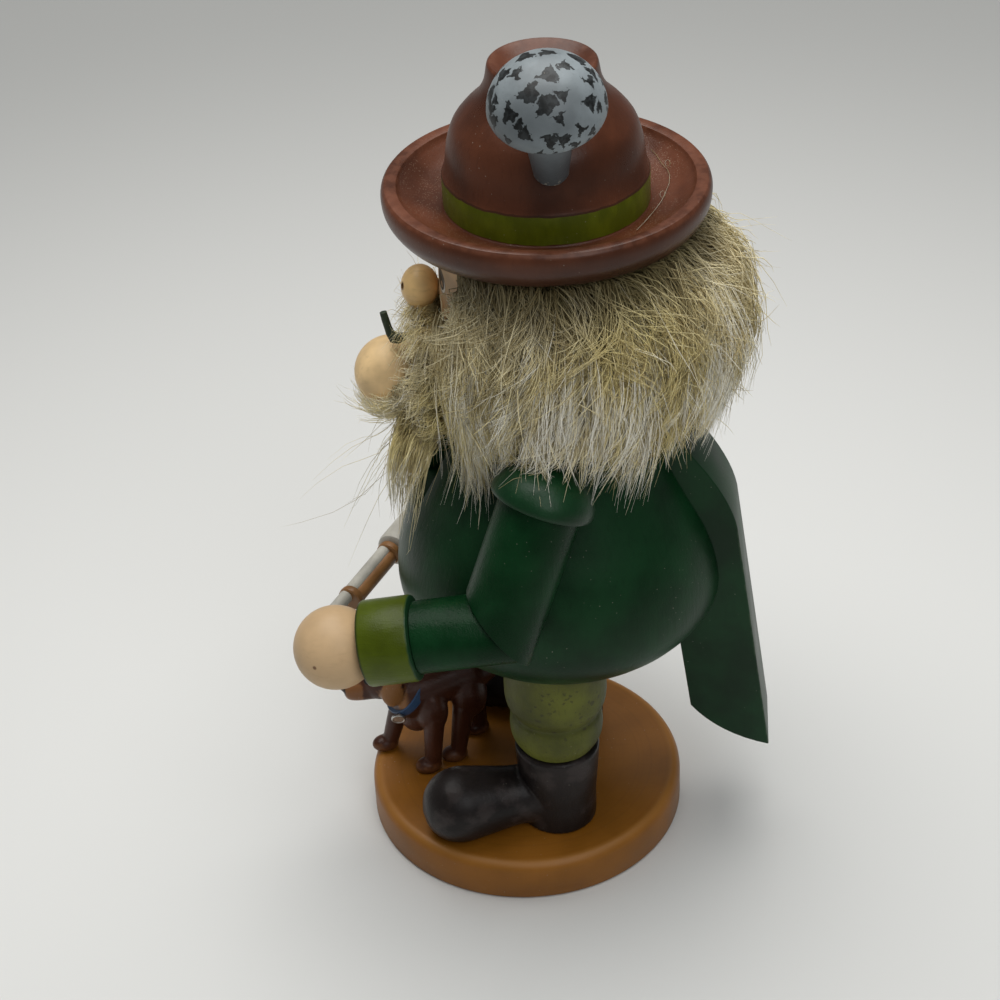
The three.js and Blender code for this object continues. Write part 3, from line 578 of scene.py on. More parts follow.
def face_marks(place, colour):
    across = absolute(part(place, "X")) + (grainy(place, 500, 2) - 0.5) * 0.0006
    height = part(place, "Z")
    front = 1 - soften(part(place, "Y"), 0.0, 0.003)

    def oval(centre_x, centre_z, half_x, half_z, power=2.0):
        u, v = absolute((across - centre_x) * (1 / half_x)), absolute((height - centre_z) * (1 / half_z))
        return u.maths("POWER", u, power) + v.maths("POWER", v, 2.0)

    cheek = (1 - soften(oval(0.0125, 0.1805, 0.0055, 0.0055), 0.1, 1.0)) * front
    colour = mix(cheek * 0.5, colour, (0.60, 0.27, 0.10))
    eye_outline = (0.0099, 0.1898, 0.0033, 0.0035), (0.040, 0.034, 0.030)
    white = (0.0102, 0.1894, 0.0028, 0.0029), (0.72, 0.68, 0.60)
    iris = (0.0097, 0.1901, 0.0028, 0.0030), (0.060, 0.048, 0.040)
    pupil = (0.0096, 0.1904, 0.0012, 0.0014), (0.006, 0.005, 0.005)
    glint = (0.0104, 0.1890, 0.0006, 0.0009), (0.45, 0.26, 0.13)
    brow = (0.0100, 0.1965, 0.0052, 0.0013, 2.4), (0.09, 0.06, 0.03)
    for shape, tone in (eye_outline, white, iris, pupil, glint, brow):
        colour = mix((oval(*shape) < 1.0) * front, colour, tone)
    return colour


palate = 170.5
head_radius = 29.5
hat_bore = 5.3
head_line = [(0, 148.3), (28.3, 148.3), (29.0, 148.9), (head_radius, 157), (head_radius, 193.2), (29.0, 202.4),
             (28.3, 203), (0, 203)]
head = move(turn(head_line), (0, setback, 0))
cut_away(head, block((-lever_slot / 2, -150, 140), (lever_slot / 2, 150, palate)),
         rod(peg_bore, (0, -21.7, 182.2), (0, -7.4, 182.2)), rod(hat_bore, (0, setback, 188.7), (0, setback, 230)),
         *[rod(3.3, (s * 20, setback - 9, 130), (s * 20, setback - 9, 161.6)) for s in (1, -1)])
head_paint = painted("head_paint", (0.70, 0.45, 0.235), 0.5, (1, 1, 0.1), 0.1, face_marks)
piece("head_block", head, head_paint, "skin", "figure", "head")


# Nose. A drilled wooden bead in warm flesh paint, hollowed behind to sit on the face and pegged into it. Its
# hole is left open in front, with painted shade darkening its mouth.

nose_centre = Vector((0, -23.3, 182.4))
nose_hole = Vector((0.40, -0.90, 0.22)).normalized()
bead = [(6.0 * math.sin(a * math.pi / 24), -5.1 * math.cos(a * math.pi / 24)) for a in range(25)]
nose = cut_away(move(turn(bead, 56), nose_centre, nose_hole),
                rod(head_radius + glue_gap, (0, setback, 140), (0, setback, 220), 96),
                rod(0.85, nose_centre + 12 * nose_hole, nose_centre + 2.7 * nose_hole, 20),
                rod(peg_bore, (0, -21.4, 182.2), (0, -7.4, 182.2)))


def from_point(place, point):
    return vector("DISTANCE", place, point, out=1)


def nose_hole_shade(place, colour):
    near = from_point(place, nose_centre / 1000 + 0.0051 * nose_hole)
    # Painted shade: the mouth of the hole is darkened.
    return mix((1 - soften(near, 0.0008, 0.0015)) * 0.9, colour, (0.10, 0.045, 0.015))


nose_paint = painted("nose_paint", (0.82, 0.53, 0.235), 0.34, (1, 0.15, 1), 0.1, nose_hole_shade)
piece("nose_bead", nose, nose_paint, "skin", "figure", "nose")


# Twig. A dried stem held in the corner of the mouth, bent up in front of the moustache, with a knot at the
# bend and two short shoots that stand off it.

def stems(name, lines, thickness, sides=0, caps=False):
    """Thin tapering stems or hairs: each line is a list of X, Y, Z in millimetres and a share of thickness."""
    curve = bpy.data.curves.new(name, "CURVE")
    curve.dimensions = "3D"
    curve.bevel_depth = thickness / 1000
    curve.bevel_resolution = sides
    curve.use_fill_caps = caps
    for line in lines:
        spline = curve.splines.new("POLY")
        spline.points.add(len(line) - 1)
        spline.points.foreach_set("co", [c for x, y, z, _ in line for c in (x / 1000, y / 1000, z / 1000, 1)])
        spline.points.foreach_set("radius", [r for *_, r in line])
    return settled(linked(name, curve))


def twig_marks(place, colour):
    bark = soften(grainy(place, 1500, 4, (1, 1, 0.4)), 0.45, 0.65)
    return mix(bark * 0.7, colour, (0.055, 0.072, 0.040))


twig_path = [(3.6, -9.8, 173.7), (3.6, -18.8, 171.9), (3.6, -25, 169.6), (3.6, -27.8, 168.7), (3.55, -29.6, 168.1),
             (3.5, -31, 168.3), (3.4, -31.9, 169.7), (3.3, -32.4, 171.5), (3.2, -32.9, 173.6), (3, -33.4, 175.9)]
twig_girth = [1, 1, 1.0, 1.15, 1.75, 1.8, 1.35, 1.2, 1.2, 1.1]
twig_lines = [[(*point, girth) for point, girth in zip(twig_path, twig_girth)],
              [(3.5, -30.2, 168.4, 1.2), (4.6, -31.0, 168.9, 1.0), (5.4, -31.6, 169.8, 0.35)],
              [(3.5, -30.6, 168.6, 1.2), (2.4, -31.6, 168.2, 0.9), (1.8, -32.2, 168.8, 0.3)]]
twig_paint = painted("twig_paint", (0.020, 0.030, 0.016), 0.6, (1, 1, 0.3), 0.4, twig_marks, relief=0.0003)
twig = bmesh.new()
twig.from_mesh(stems("twig", twig_lines, 0.95, 2, True))
piece("twig", twig, twig_paint, "twig_green", "figure", "mouth_twig", crease=60)


# Hat. Brim, band and crown turned in one piece of wood: red-brown satin paint, worn pale along the lip and
# dusty in the bowl of the brim, with an olive band painted round the foot of the crown. The outer face of the
# brim, below the lip, is painted darker as shade.

def hat_marks(place, colour):
    radius, level = from_axis(place, setback / 1000), part(place, "Z")
    height = level + (grainy(place, 220, 3) - 0.5) * 0.0009
    ochre = grainy(place, 240, 4, (1, 1, 0.5))
    band = mix(soften(ochre, 0.35, 0.7), (0.070, 0.083, 0.0012), (0.100, 0.116, 0.0025))
    on_crown = radius < 0.0277
    colour = mix(on_crown * (height > 0.2096) * (height < 0.2173), colour, band)
    seam = on_crown * (height > 0.2173) * (height < 0.2178)
    colour = mix(seam * 0.5, colour, (0.020, 0.012, 0.004))
    # Painted shade: the outer face of the brim below the lip is darkened.
    under = (1 - soften(level, 0.2040, 0.2135)) * soften(radius, 0.0392, 0.0400)
    colour = mix(under * 0.85, colour, (0.030, 0.009, 0.005))
    lip = soften(radius, 0.0384, 0.0391) * soften(level, 0.2138, 0.2146)
    wear = soften(grainy(place, 330, 5), 0.38, 0.6)
    colour = mix(lip * wear * 0.28, colour, (0.20, 0.075, 0.040))
    bowl = soften(radius, 0.0275, 0.0290) * (1 - soften(radius, 0.0386, 0.0392)) * (1 - soften(level, 0.2135, 0.2145))
    dusty = (crumbs(place, 1700) < 0.21) * bowl * soften(grainy(place, 90, 4), 0.36, 0.62)
    return mix(dusty * 0.45, colour, (0.42, 0.31, 0.22))


def hat_worn(place):
    top = soften(part(place, "Z"), 0.2464, 0.2476)
    return top * 0.25, (0.20, 0.085, 0.05)


hat_foot = 203.3
brim_line = flowing([(36.6, 0.2), (40.05, 1.9), (42.65, 5.4), (43.3, 8.8), (43.0, 10.9), (42.3, 11.9)], 5)
lip_line = [(41.8, 12.05), (39.6, 11.8), (39.2, 11.65), (38.95, 11.25)]
bowl_line = flowing([(38.7, 10.7), (34.2, 7.5), (28.9, 5.9)], 5)
crown_line = flowing([(26.9, 14.6), (26.2, 17.5), (25.4, 23), (23.7, 28.1), (20.5, 32.2), (17.3, 35.3), (15.2, 39.0),
                      (14.3, 43.4), (13.9, 44.3), (13, 44.5), (9.3, 42.7), (4, 42.0)], 4)
foot_line = [(0, -0.28), (28.2, -0.28), (28.2, 0)]
band_line = [(27.5, 5.8), (27.2, 6.1), (27.2, 14.1)]
hat = turn([*foot_line, *brim_line, *lip_line, *bowl_line, *band_line, *crown_line, (0, 41.9)], 128)
move(hat, (0, setback, hat_foot))
tuft_foot = Vector((24.8, 15.1, 225.84))
tuft_lean = math.radians(20)
tuft_line = Vector((math.sin(tuft_lean), 0, math.cos(tuft_lean)))
tuft_peg = Vector((18, 13.8, 223))
cut_away(hat, rod(hat_bore, (0, setback, 180), (0, setback, 223.6)), rod(2.2, tuft_peg, tuft_foot + 7 * tuft_line),
         move(turn([(0, 3.0), (4.2, 3.0), (4.6, 4.0), (5.9, 14), (0, 14)], 48), tuft_foot, tuft_line))
hat_paint = painted("hat_paint", (0.090, 0.0265, 0.0105), 0.33, (1, 1, 0.2), 0.3, hat_marks, hat_worn,
                    relief=0.0001)
piece("brimmed_hat", hat, hat_paint, "hat_brown", "figure", "hat")


# Tuft. A turned cone with a domed cap, pegged and glued into the side of the crown. The cap is dove grey,
# dabbed over with ragged black strokes, and crumbs of dry glue sit round the foot of the stem. The stem is
# painted a darker grey towards its foot, as shade.

def tuft_marks(place, colour):
    local = place.node("ShaderNodeMapping", {"vector_type": "TEXTURE"},
                       {"Vector": place, "Location": tuft_foot / 1000, "Rotation": (0, tuft_lean, 0)})
    aim = vector("NORMALIZE", vector("SUBTRACT", local, (0, 0, 0.026)))
    spread = aim.maths("DIVIDE", 1.0, part(aim, "Z") + 1.12)
    flat = aim.node("ShaderNodeVectorMath", {"operation": "SCALE"}, {0: aim, "Scale": spread})
    ragged = place.node("ShaderNodeTexNoise", sockets={"Vector": flat, "Scale": 15.0, "Detail": 6.0}, out=1)
    shaken = vector("MULTIPLY_ADD", ragged, (0.15, 0.15, 0), flat)
    cells = {"Vector": shaken, "Scale": 4.5, "Randomness": 0.8}
    dabs = place.node("ShaderNodeTexVoronoi", {"voronoi_dimensions": "2D"}, cells, out=2)
    lot = place.node("ShaderNodeTexVoronoi", {"voronoi_dimensions": "2D"}, cells, out=1)
    offset = vector("SUBTRACT", shaken, dabs)
    angle = place.maths("ARCTAN2", part(offset, "Y"), part(offset, "X")) + part(lot, "X") * math.tau
    third = math.tau / 3
    wedge = place.maths("COSINE", place.maths("FLOORED_MODULO", angle, third) - third / 2)
    reach = from_axis(offset) * wedge
    size = part(lot, "Y") * 0.036 + 0.039
    on_cap = soften(part(local, "Z"), 0.0246, 0.0256)
    dab = (1 - soften(reach - size, -0.004, 0.004)) * (0.88 + soften(grainy(place, 700, 3), 0.35, 0.6) * 0.12)
    colour = mix(dab * on_cap, colour, (0.006, 0.007, 0.007))
    # Painted shade: the stem darkens towards its foot.
    stem_shade = 1 - soften(part(local, "Z"), 0.004, 0.0255)
    colour = mix(stem_shade * 0.75, colour, (0.075, 0.082, 0.090))
    glue = (crumbs(place, 900) < 0.30) * (1 - soften(part(local, "Z"), 0.003, 0.006))
    return mix(glue * 0.8, colour, (0.62, 0.58, 0.47))


dome_line = [(14.6 * math.cos(a * math.pi / 24), 26.2 + 13.2 * math.sin(a * math.pi / 24)) for a in range(12)]
tuft = turn([(0, 3.2), (3.9, 3.2), (4.4, 4.0), (7.0, 24.2), (7.5, 24.6), (13.2, 24.6), (14.2, 25.0), *dome_line,
             (0, 39.4)], 64)
move(tuft, tuft_foot, tuft_line)
join(tuft, rod(2, tuft_peg, tuft_foot + 7 * tuft_line))
tuft_paint = painted("tuft_paint", (0.215, 0.246, 0.260), 0.42, (1, 1, 1), 0.2, tuft_marks, relief=0.00012)
piece("tuft", tuft, tuft_paint, "tuft_grey", "figure", "hat_tuft")


# Arms. Each is a turned cap glued over the top of an upper arm, hollowed to fit the body, and a forearm
# mitred to it at the elbow. All brushed in the coat's green, a little glossier than the coat.

arms = {
    "left": (Vector((42, 11.0, 140.2)), Vector((53, -0.7, 107.4)), Vector((53.5, -45.5, 99.8))),
    "right": (Vector((-42.5, 13.0, 140.2)), Vector((-55.5, 14.0, 106.5)), Vector((-57.97, -21.65, 83.3))),
}
cuff_back = 22.75
cap_line = flowing([(14.3, 1.4), (13.75, 4.2), (11.3, 8.2), (6.6, 11.3), (3, 12.35)], 5)
arm_paint = painted("arm_paint", coat_green, 0.31, (1, 1, 0.1), 0.15, relief=0.0003, shine=0.10)
cap_paint = painted("cap_paint", coat_green, 0.34, (1, 1, 0.3), 0.15, relief=0.0002, shine=0.28)
for side_name, (shoulder, elbow, hand_at) in arms.items():
    down, forward = (elbow - shoulder).normalized(), (hand_at - elbow).normalized()
    mitre = (down + forward).normalized()
    cap = move(turn([(0, 0.15), (13.3, 0.15), (14.0, 0.5), *cap_line, (0, 12.6)], 64), shoulder, -down)
    cut_away(cap, egg(glue_gap))
    piece(f"{side_name}_cap", cap, cap_paint, "coat_green", "figure", f"{side_name}_shoulder_cap")
    for limb_name, node, radius, start, end, keep in (
            ("upper", "upper_arm", 11.4, shoulder + glue_gap / 2 * down, elbow + 20 * down, -1),
            ("fore", "forearm", 10.0, elbow - 20 * forward, hand_at - (cuff_back + glue_gap) * forward, 1)):
        limb = rod(radius, start, end, 64)
        end_grain = saw_off(limb, elbow + glue_gap / 2 * keep * mitre, keep * mitre)
        corner = [e for face in end_grain for e in face.edges]
        bmesh.ops.bevel(limb, geom=corner, offset=0.00035, segments=2, profile=0.5, affect="EDGES", material=-1)
        bmesh.ops.recalc_face_normals(limb, faces=limb.faces)
        cut_away(limb, egg(glue_gap))
        piece(f"{side_name}_{limb_name}_limb", limb, arm_paint, "coat_green", "figure", f"{side_name}_{node}")


# Cuffs. Turned rings of olive paint between forearm and hand, dished in front so that the hand sits in, with
# the dish painted dark round it as shade. The back face was brushed over with the coat's green.

def cuff_marks(elbow, hand_at):
    forward = (hand_at - elbow).normalized()
    back = ((hand_at - elbow).length - cuff_back) / 1000

    def marks(place, colour):
        along = vector("DOT_PRODUCT", vector("SUBTRACT", place, elbow / 1000), forward, out=1)
        green = 1 - soften(along + (grainy(place, 400, 2) - 0.5) * 0.0006, back + 0.0002, back + 0.0009)
        colour = mix(green, colour, (0.012, 0.045, 0.018))
        # Painted shade: the dish in front is darkened round the hand.
        dish_shade = soften(along, back + 0.0132, back + 0.0141)
        return mix(dish_shade * 0.85, colour, (0.016, 0.018, 0.006))

    return marks


cuff_line = [(0, 0), (10.9, 0), (11.6, 0.3), (11.9, 1.0), (11.9, 13.4), (11.6, 14.1), (10.9, 14.4), (10.0, 14.1),
             (9.4, 13.2), (0, 13.2)]
hand_radius = 11.6
wrist_bore = 2.8
for side_name, (_, elbow, hand_at) in arms.items():
    forward = (hand_at - elbow).normalized()
    cuff = move(turn(cuff_line, 64), hand_at - cuff_back * forward, forward)
    cut_away(cuff, ball(hand_radius + glue_gap, hand_at), egg(glue_gap),
             rod(wrist_bore, hand_at - 31 * forward, hand_at - 3 * forward))
    cuff_paint = painted(f"{side_name}_cuff_paint", (0.068, 0.096, 0.002), 0.34, (1, 0.15, 1), 0.2,
                         cuff_marks(elbow, hand_at), relief=0.0002, shine=0.2)
    piece(f"{side_name}_sleeve_cuff", cuff, cuff_paint, "cuff_olive", "figure", f"{side_name}_cuff")


# Hands. Plain turned balls in flesh paint, doweled through the cuffs. The left has a pinhole where it was
# held on the lathe, and the right is bored across for the grip of the gun.

def hand_marks(place, colour):
    pinhole = 1 - soften(from_point(place, (0.0640, -0.0495, 0.1012)), 0.0004, 0.0008)
    colour = mix(pinhole * 0.9, colour, (0.16, 0.07, 0.03))
    grime = soften(grainy(place, 160, 5), 0.55, 0.72)
    return mix(grime * 0.10, colour, (0.36, 0.20, 0.10))


gun_muzzle = Vector((38, -57.92, 83.3))
gun_line = Vector((-0.9354, 0.3535, 0))
hand_paint = painted("hand_paint", (0.545, 0.375, 0.208), 0.44, (1, 0.12, 1), 0.15, hand_marks, mottle=0.4)
for side_name, (_, elbow, hand_at) in arms.items():
    forward = (hand_at - elbow).normalized()
    bores = [rod(wrist_bore, hand_at - 31 * forward, hand_at - 2.7 * forward)]
    if side_name == "right":
        bores.append(rod(3.0, gun_muzzle + 74 * gun_line, gun_muzzle + 134 * gun_line))
    hand = cut_away(ball(hand_radius, hand_at), *bores)
    piece(f"{side_name}_ball_hand", hand, hand_paint, "skin", "figure", f"{side_name}_hand")


# Gun. A little turned stock in brown varnish carried across the belly, with a grey-painted barrel lying in
# two rings beside the fore-end and a grey receiver sleeve behind them. The grip runs through the hand.

gun_aside = Vector((0, -0.6606, 0.7507))
ringed = [(0, 27.54), (2.1, 27.54), (2.5, 28.0), (2.5, 54), (1.7, 54), (1.7, 72.9), (2.3, 72.9), (2.7, 73.4),
          (2.7, 115.5), *flowing([(2.9, 116.4), (4.9, 121), (5.6, 128), (5.6, 132.6), (4.6, 134)], 5), (0, 134)]
stock = move(turn(ringed, 40), gun_muzzle, gun_line)
for ring_at in (27.54, 51.4):
    ring = turn([(0, 0), (3.2, 0), (3.6, 0.3), (3.75, 1.3), (3.6, 2.3), (3.2, 2.6), (0, 2.6)], 40)
    join(stock, move(ring, gun_muzzle + 0.96 * gun_aside + ring_at * gun_line, gun_line))
gun_varnish = painted("gun_varnish", (0.26, 0.125, 0.045), 0.36, (0.12, 1, 1), 0.3)
piece("stock", stock, gun_varnish, "gun_wood", "figure", "gun_stock")

barrel = turn([(0, 7), (1.1, 7), (1.1, 0.3), (1.3, 0), (1.75, 0), (2, 0.3), (2, 54), (0, 54)], 32)
move(barrel, gun_muzzle + 2.4 * gun_aside, gun_line)
gun_grey = painted("gun_grey", (0.50, 0.48, 0.42), 0.42, (0.1, 1, 1), 0.4)
piece("barrel", barrel, gun_grey, "gun_grey", "figure", "gun_barrel")

receiver = turn([(2.0, 54.3), (4.4, 54.3), (5.1, 54.7), (5.4, 55.8), *flowing([(5.4, 68.4), (5.1, 70.3), (4.2, 71.8),
                 (3.2, 72.6)], 4), (2.0, 72.6), (2.0, 54.3)], 40)
move(receiver, gun_muzzle + 0.48 * gun_aside, gun_line)
piece("receiver", receiver, gun_grey, "gun_grey", "figure", "gun_receiver")


# Hound. A small casting standing between the boots and looking up to the front, in dark brown paint with a
# tan muzzle and paws brushed over it. Its ears are painted tan, partly marking and partly a painted highlight.

def hound_marks(place, colour):
    local = place.node("ShaderNodeMapping", {"vector_type": "TEXTURE"},
                       {"Vector": place, "Location": hound_at / 1000, "Rotation": (0, 0, hound_turn)})
    side, along, height = absolute(part(local, "X")), part(local, "Y"), part(local, "Z")
    uneven = (grainy(place, 260, 4) - 0.5) * 0.006
    # The ears' tan is partly a marking and partly a painted highlight.
    ear = soften(side + uneven, 0.0062, 0.0072) * soften(height, 0.024, 0.026) * (1 - soften(along, -0.0225, -0.0205))
    muzzle = 1 - soften(along + uneven, -0.0350, -0.0335)
    paw = 1 - soften(height + uneven, 0.0015, 0.0035)
    back = soften(height + uneven, 0.0335, 0.0365) * soften(along, -0.014, -0.010)
    eye = from_point(place.node("ShaderNodeCombineXYZ", sockets={0: side, 1: along, 2: height}),
                     (0.0042, -0.0328, 0.0362)) < 0.0015
    for mask, tone in ((ear * 0.9, (0.28, 0.125, 0.040)), (muzzle * 0.8, (0.26, 0.11, 0.038)),
                       (paw * 0.6, (0.20, 0.080, 0.028)), (back * 0.5, (0.022, 0.010, 0.006)),
                       ((along < -0.0392) * 0.95, (0.008, 0.006, 0.006)), (eye, (0.006, 0.005, 0.005))):
        colour = mix(mask, colour, tone)
    return colour


hound_turn = math.radians(20)
hound_at = Vector((-7.5, -17.5, 13.5))
trunk_line = flowing([(5.4, -6), (7.4, 0), (7.4, 8), (8.8, 19), (7.4, 25), (0, 29)], 4)
muzzle_line = flowing([(5.2, 0), (3.9, 6), (2.4, 8.6), (0, 9)], 4)
tail_line = flowing([(2.5, 0.6), (1.9, 5), (1.1, 9), (0, 10)], 4)
hound = move(turn([(0, -8), *trunk_line], 32), (0, 1, 30), (0, -20, -4))
join(hound, move(turn([(0, -4), (8.2, -3), (6.6, 9), (0, 12)], 32), (0, -17, 25), (0, -8, 7)),
     ball(7.2, (0, -27.4, 33), (0.95, 1.05, 0.95), 16),
     move(turn([(0, -3), *muzzle_line], 32), (0, -30.6, 31.6), (0, -8, -1.2)),
     ball(1.8, (0, -39, 32.4), rings=10),
     move(turn([(0, 0), *tail_line], 20), (0, 6, 31), (0, 6, 3)))
ear, paw = (1.7, 3.6, 5.8), (3.2, 4.3, 2.6)
for centre, radii in (
        ((6.9, -25.6, 32), ear), ((-6.9, -25.6, 32), ear), ((0, -17.5, 18.5), (6.8, 6, 8.4)),
        ((4.8, -1.4, 23), (4.4, 5.8, 8.4)), ((-4.6, 1.6, 23), (4.4, 5.8, 8.4)),
        ((6.4, -13.6, 21), (4.4, 5, 8)), ((-5.6, -18, 20), (4, 5, 8)),
        ((5.8, -7.4, 1.4), paw), ((-4.6, 2.4, 1.4), paw), ((8.5, -16.4, 1.4), paw), ((-5.8, -27, 1.4), paw)):
    join(hound, move(ball(1, (0, 0, 0), radii, 12), centre))
for hip, foot in (((5.2, -3.4, 20), (5.8, -6.2, 1.4)), ((-4.6, 2, 20), (-4.6, 3.6, 1.4)),
                  ((7.6, -13.4, 20), (8.5, -15, 1.4)), ((-5.6, -20.4, 19), (-5.8, -25.6, 1.4))):
    leg_run = Vector(foot) - Vector(hip)
    join(hound, move(turn([(0, 0), (3.5, 0), (2.5, leg_run.length), (0, leg_run.length)], 20), hip, leg_run))
melt(hound, 0.45, 5)
saw_off(hound, (0, 0, 0), (0, 0, 1))
hound_stand = Matrix.Translation(hound_at / 1000) @ Matrix.Rotation(hound_turn, 4, "Z")
bmesh.ops.transform(hound, matrix=hound_stand, verts=hound.verts)
hound_paint = painted("hound_paint", (0.056, 0.016, 0.007), 0.36, (1, 0.4, 1), 0.3, hound_marks, relief=0.0002)
piece("hound", hound, hound_paint, "dog_brown", "figure", "dog", crease=50)


# Collar and tag. A flat band, painted blue and pressed round the hound's neck, and a small bright disc of
# metal that hangs at its side.

neck_at, neck_line = Vector((0, -19.6, 26.6)), Vector((0, -8, 7))
collar = turn([(6.5, -1.5), (8.6, -1.5), (8.9, -1.2), (8.9, 1.2), (8.6, 1.5), (6.5, 1.5), (6.5, -1.5)], 48)
move(collar, neck_at, neck_line)
bmesh.ops.transform(collar, matrix=hound_stand, verts=collar.verts)
collar_paint = painted("collar_paint", (0.030, 0.070, 0.150), 0.38, (1, 1, 1), 0.2)
piece("collar", collar, collar_paint, "collar_blue", "figure", "dog_collar")

tag_line = Vector((0.92, -0.26, -0.295)).normalized()
tag_drop = tag_line.cross(neck_line).normalized()
tag = turn([(0, 0), (1.95, 0), (2.2, 0.2), (2.2, 0.7), (1.95, 0.9), (1.75, 0.9), (1.6, 0.75), (0, 0.75)], 32)
move(tag, neck_at + 8.9 * tag_line + 4 * tag_drop, tag_line)
bmesh.ops.transform(tag, matrix=hound_stand, verts=tag.verts)
tag_metal, tag_shader, tag_place = new_finish("tag_metal")
scuffs = grainy(tag_place, 1800, 4, (1, 0.2, 1))
mix(soften(scuffs, 0.4, 0.7), (0.58, 0.57, 0.54), (0.36, 0.35, 0.33)).into(tag_shader, "Base Color")
(0.24 + scuffs * 0.25).into(tag_shader, "Roughness")
tag_shader.inputs["Metallic"].default_value = 1.0
piece("name_disc", tag, tag_metal, "tag_metal", "figure", "dog_tag")


# Pelt. The hide of the fur, glued round the head from ear to ear and cut open at the face and over the
# lever. Only its dark roots show, deep between the hairs.

pelt = move(turn([(30.1, 152), (31.6, 151.4), (32.4, 160), (32.4, 199), (31.8, 203.0), (30.1, 203.1), (30.1, 152)]),
            (0, setback, 0))
cut_away(pelt, block((-15, -150, 100), (15, 5.7, 176)), block((-24, -150, 176), (24, 5.7, 300)),
         block((-12.3, 15.7, 100), (12.3, 150, 163.3)))
pelt_hide, pelt_shader, pelt_place = new_finish("pelt_hide")
nap = grainy(pelt_place, 1400, 4, (1, 1, 0.15))
mix(soften(nap, 0.3, 0.7), (0.075, 0.056, 0.020), (0.26, 0.205, 0.090)).into(pelt_shader, "Base Color")
(0.75 + (nap - 0.5) * 0.3).into(pelt_shader, "Roughness")
emboss(pelt_shader, nap, 0.9, 0.0006)
piece("pelt", pelt, pelt_hide, "fur", "figure", "hair")


# Hair. Long animal fur in wisps, brown at the root, olive-straw along its length and silver at the tip. It
# springs out under the brim and falls to the shoulders, and the lock over the lever lies along the handle.

chance = random.Random(41)
fur_hair, fur_shader, fur_place = new_finish("fur_hair")
along_hair = fur_place.node("ShaderNodeAttribute", {"attribute_name": "along"}, out=2)
hair_tone = fur_place.node("ShaderNodeAttribute", {"attribute_name": "tone"}, out=2)
swathe = soften(grainy(fur_place, 38, 3), 0.35, 0.68)
straw = mix(swathe, (0.92, 0.82, 0.53), (0.91, 0.78, 0.37))
straw = mix(soften(hair_tone, 0.06, 0.5), (0.34, 0.26, 0.11), straw)
lengthwise = mix(soften(along_hair, 0.0, 0.3), (0.26, 0.20, 0.08), straw)
silver = soften(along_hair, 0.15, 0.7) * soften(hair_tone, 0.46, 0.72)
lengthwise = mix(silver * 0.9, lengthwise, (1.0, 0.98, 0.89))
# Painted shade: darker streaks through the fur stand for the shade in the gaps between locks.
parting_shade = soften(grainy(fur_place, 210, 3, (1, 1, 0.14)), 0.50, 0.66)
lengthwise = mix(parting_shade * 0.45, lengthwise, (0.18, 0.14, 0.06))
fur_reach = from_axis(fur_place, setback / 1000)
shaded = soften(part(fur_place, "Z"), 0.187, 0.199) * (1 - soften(fur_reach, 0.041, 0.050))
mix(shaded * 0.7, lengthwise, (0.13, 0.098, 0.038)).into(fur_shader, "Base Color")
(0.42 + (1 - hair_tone) * 0.2).into(fur_shader, "Roughness")
fur_shader.inputs["Specular IOR Level"].default_value = 0.35


def between(value, table):
    """A value read off a table of pairs, in straight lines between them."""
    for (low, first), (high, second) in zip(table, table[1:]):
        if value <= high:
            return first + (second - first) * max(0.0, (value - low) / (high - low))
    return table[-1][1]


egg_girth = sorted((z, r) for r, z in egg_line)
fur_girth = [(100, 0.42), (118, 0.51), (130, 0.60), (137, 0.66), (145, 0.73), (155, 0.805), (163, 0.885), (172, 0.96),
             (183, 0.985), (192, 0.965), (202.2, 0.89)]
fur_width = [(100, 0.80), (130, 0.92), (145, 0.99), (160, 1.0), (176, 1.0), (192, 0.97), (202.2, 0.89)]
lever_back = [(111.3, 64.4), (133, 53.6), (154, 29.6), (165, 5.5)]
hide_radius, fur_half_width, fur_half_depth, fur_axis = 31.2, 47.5, 49.0, 21.0
brim_under, brim_flat, brim_reach = 203.0, 37.5, 44.5
head_clear, chin_clear, cap_clear, arm_clear, lever_clear = 30.4, 10.8, 14.9, 12.0, 12.6


def by_shoulder(spot):
    """The shoulder on a point's side, the arm's line upward, the point's height on it and its way aside."""
    top, elbow, _ = arms["left" if spot.x > 0 else "right"]
    up = (top - elbow).normalized()
    high = (spot - top).dot(up)
    return top, up, high, spot - top - high * up


def clear(x, y, z, home, lock):
    """Moves a point of a hair out of the wood behind it."""
    out = math.hypot(x, y - setback)
    if z > 148 and out < head_clear:
        x, y = x * head_clear / out, setback + (y - setback) * head_clear / out
    if z < 148.5:
        fat = between(z, egg_girth) + 0.7
        out = math.hypot(x, y - body_axis)
        if out < fat:
            x, y = x * fat / out, body_axis + (y - body_axis) * fat / out
    if out < brim_reach:
        z = min(z, brim_under + max(0.0, out - brim_flat) * 0.75)
    off = Vector((x, y, z)) - Vector(chin_centre)
    if off.length < chin_clear:
        x, y, z = Vector(chin_centre) + off.normalized() * chin_clear
    if abs(x) > 20:
        top, up, high, aside = by_shoulder(Vector((x, y, z)))
        girth = arm_clear if high < -1 else cap_clear
        if high > 0:
            deep = math.hypot(aside.length / cap_clear, high / 13.3)
            if deep < 1:
                x, y, z = top + (high * up + aside) / max(deep, 0.1)
        elif aside.length < girth:
            x, y, z = top + high * up + aside.normalized() * girth
    if y > 14 and z < 167 and abs(x) < lever_clear:
        if lock:
            y = max(y, between(z, lever_back))
        else:
            x = home * lever_clear
    return x, y, z


def under_cap(x, y, z):
    """Whether a hair would end below the rim of a shoulder cap, where it has no way past the wood."""
    _, _, high, aside = by_shoulder(Vector((x, y, z)))
    return abs(x) > 20 and high < 1.5 and aside.length < 17.5


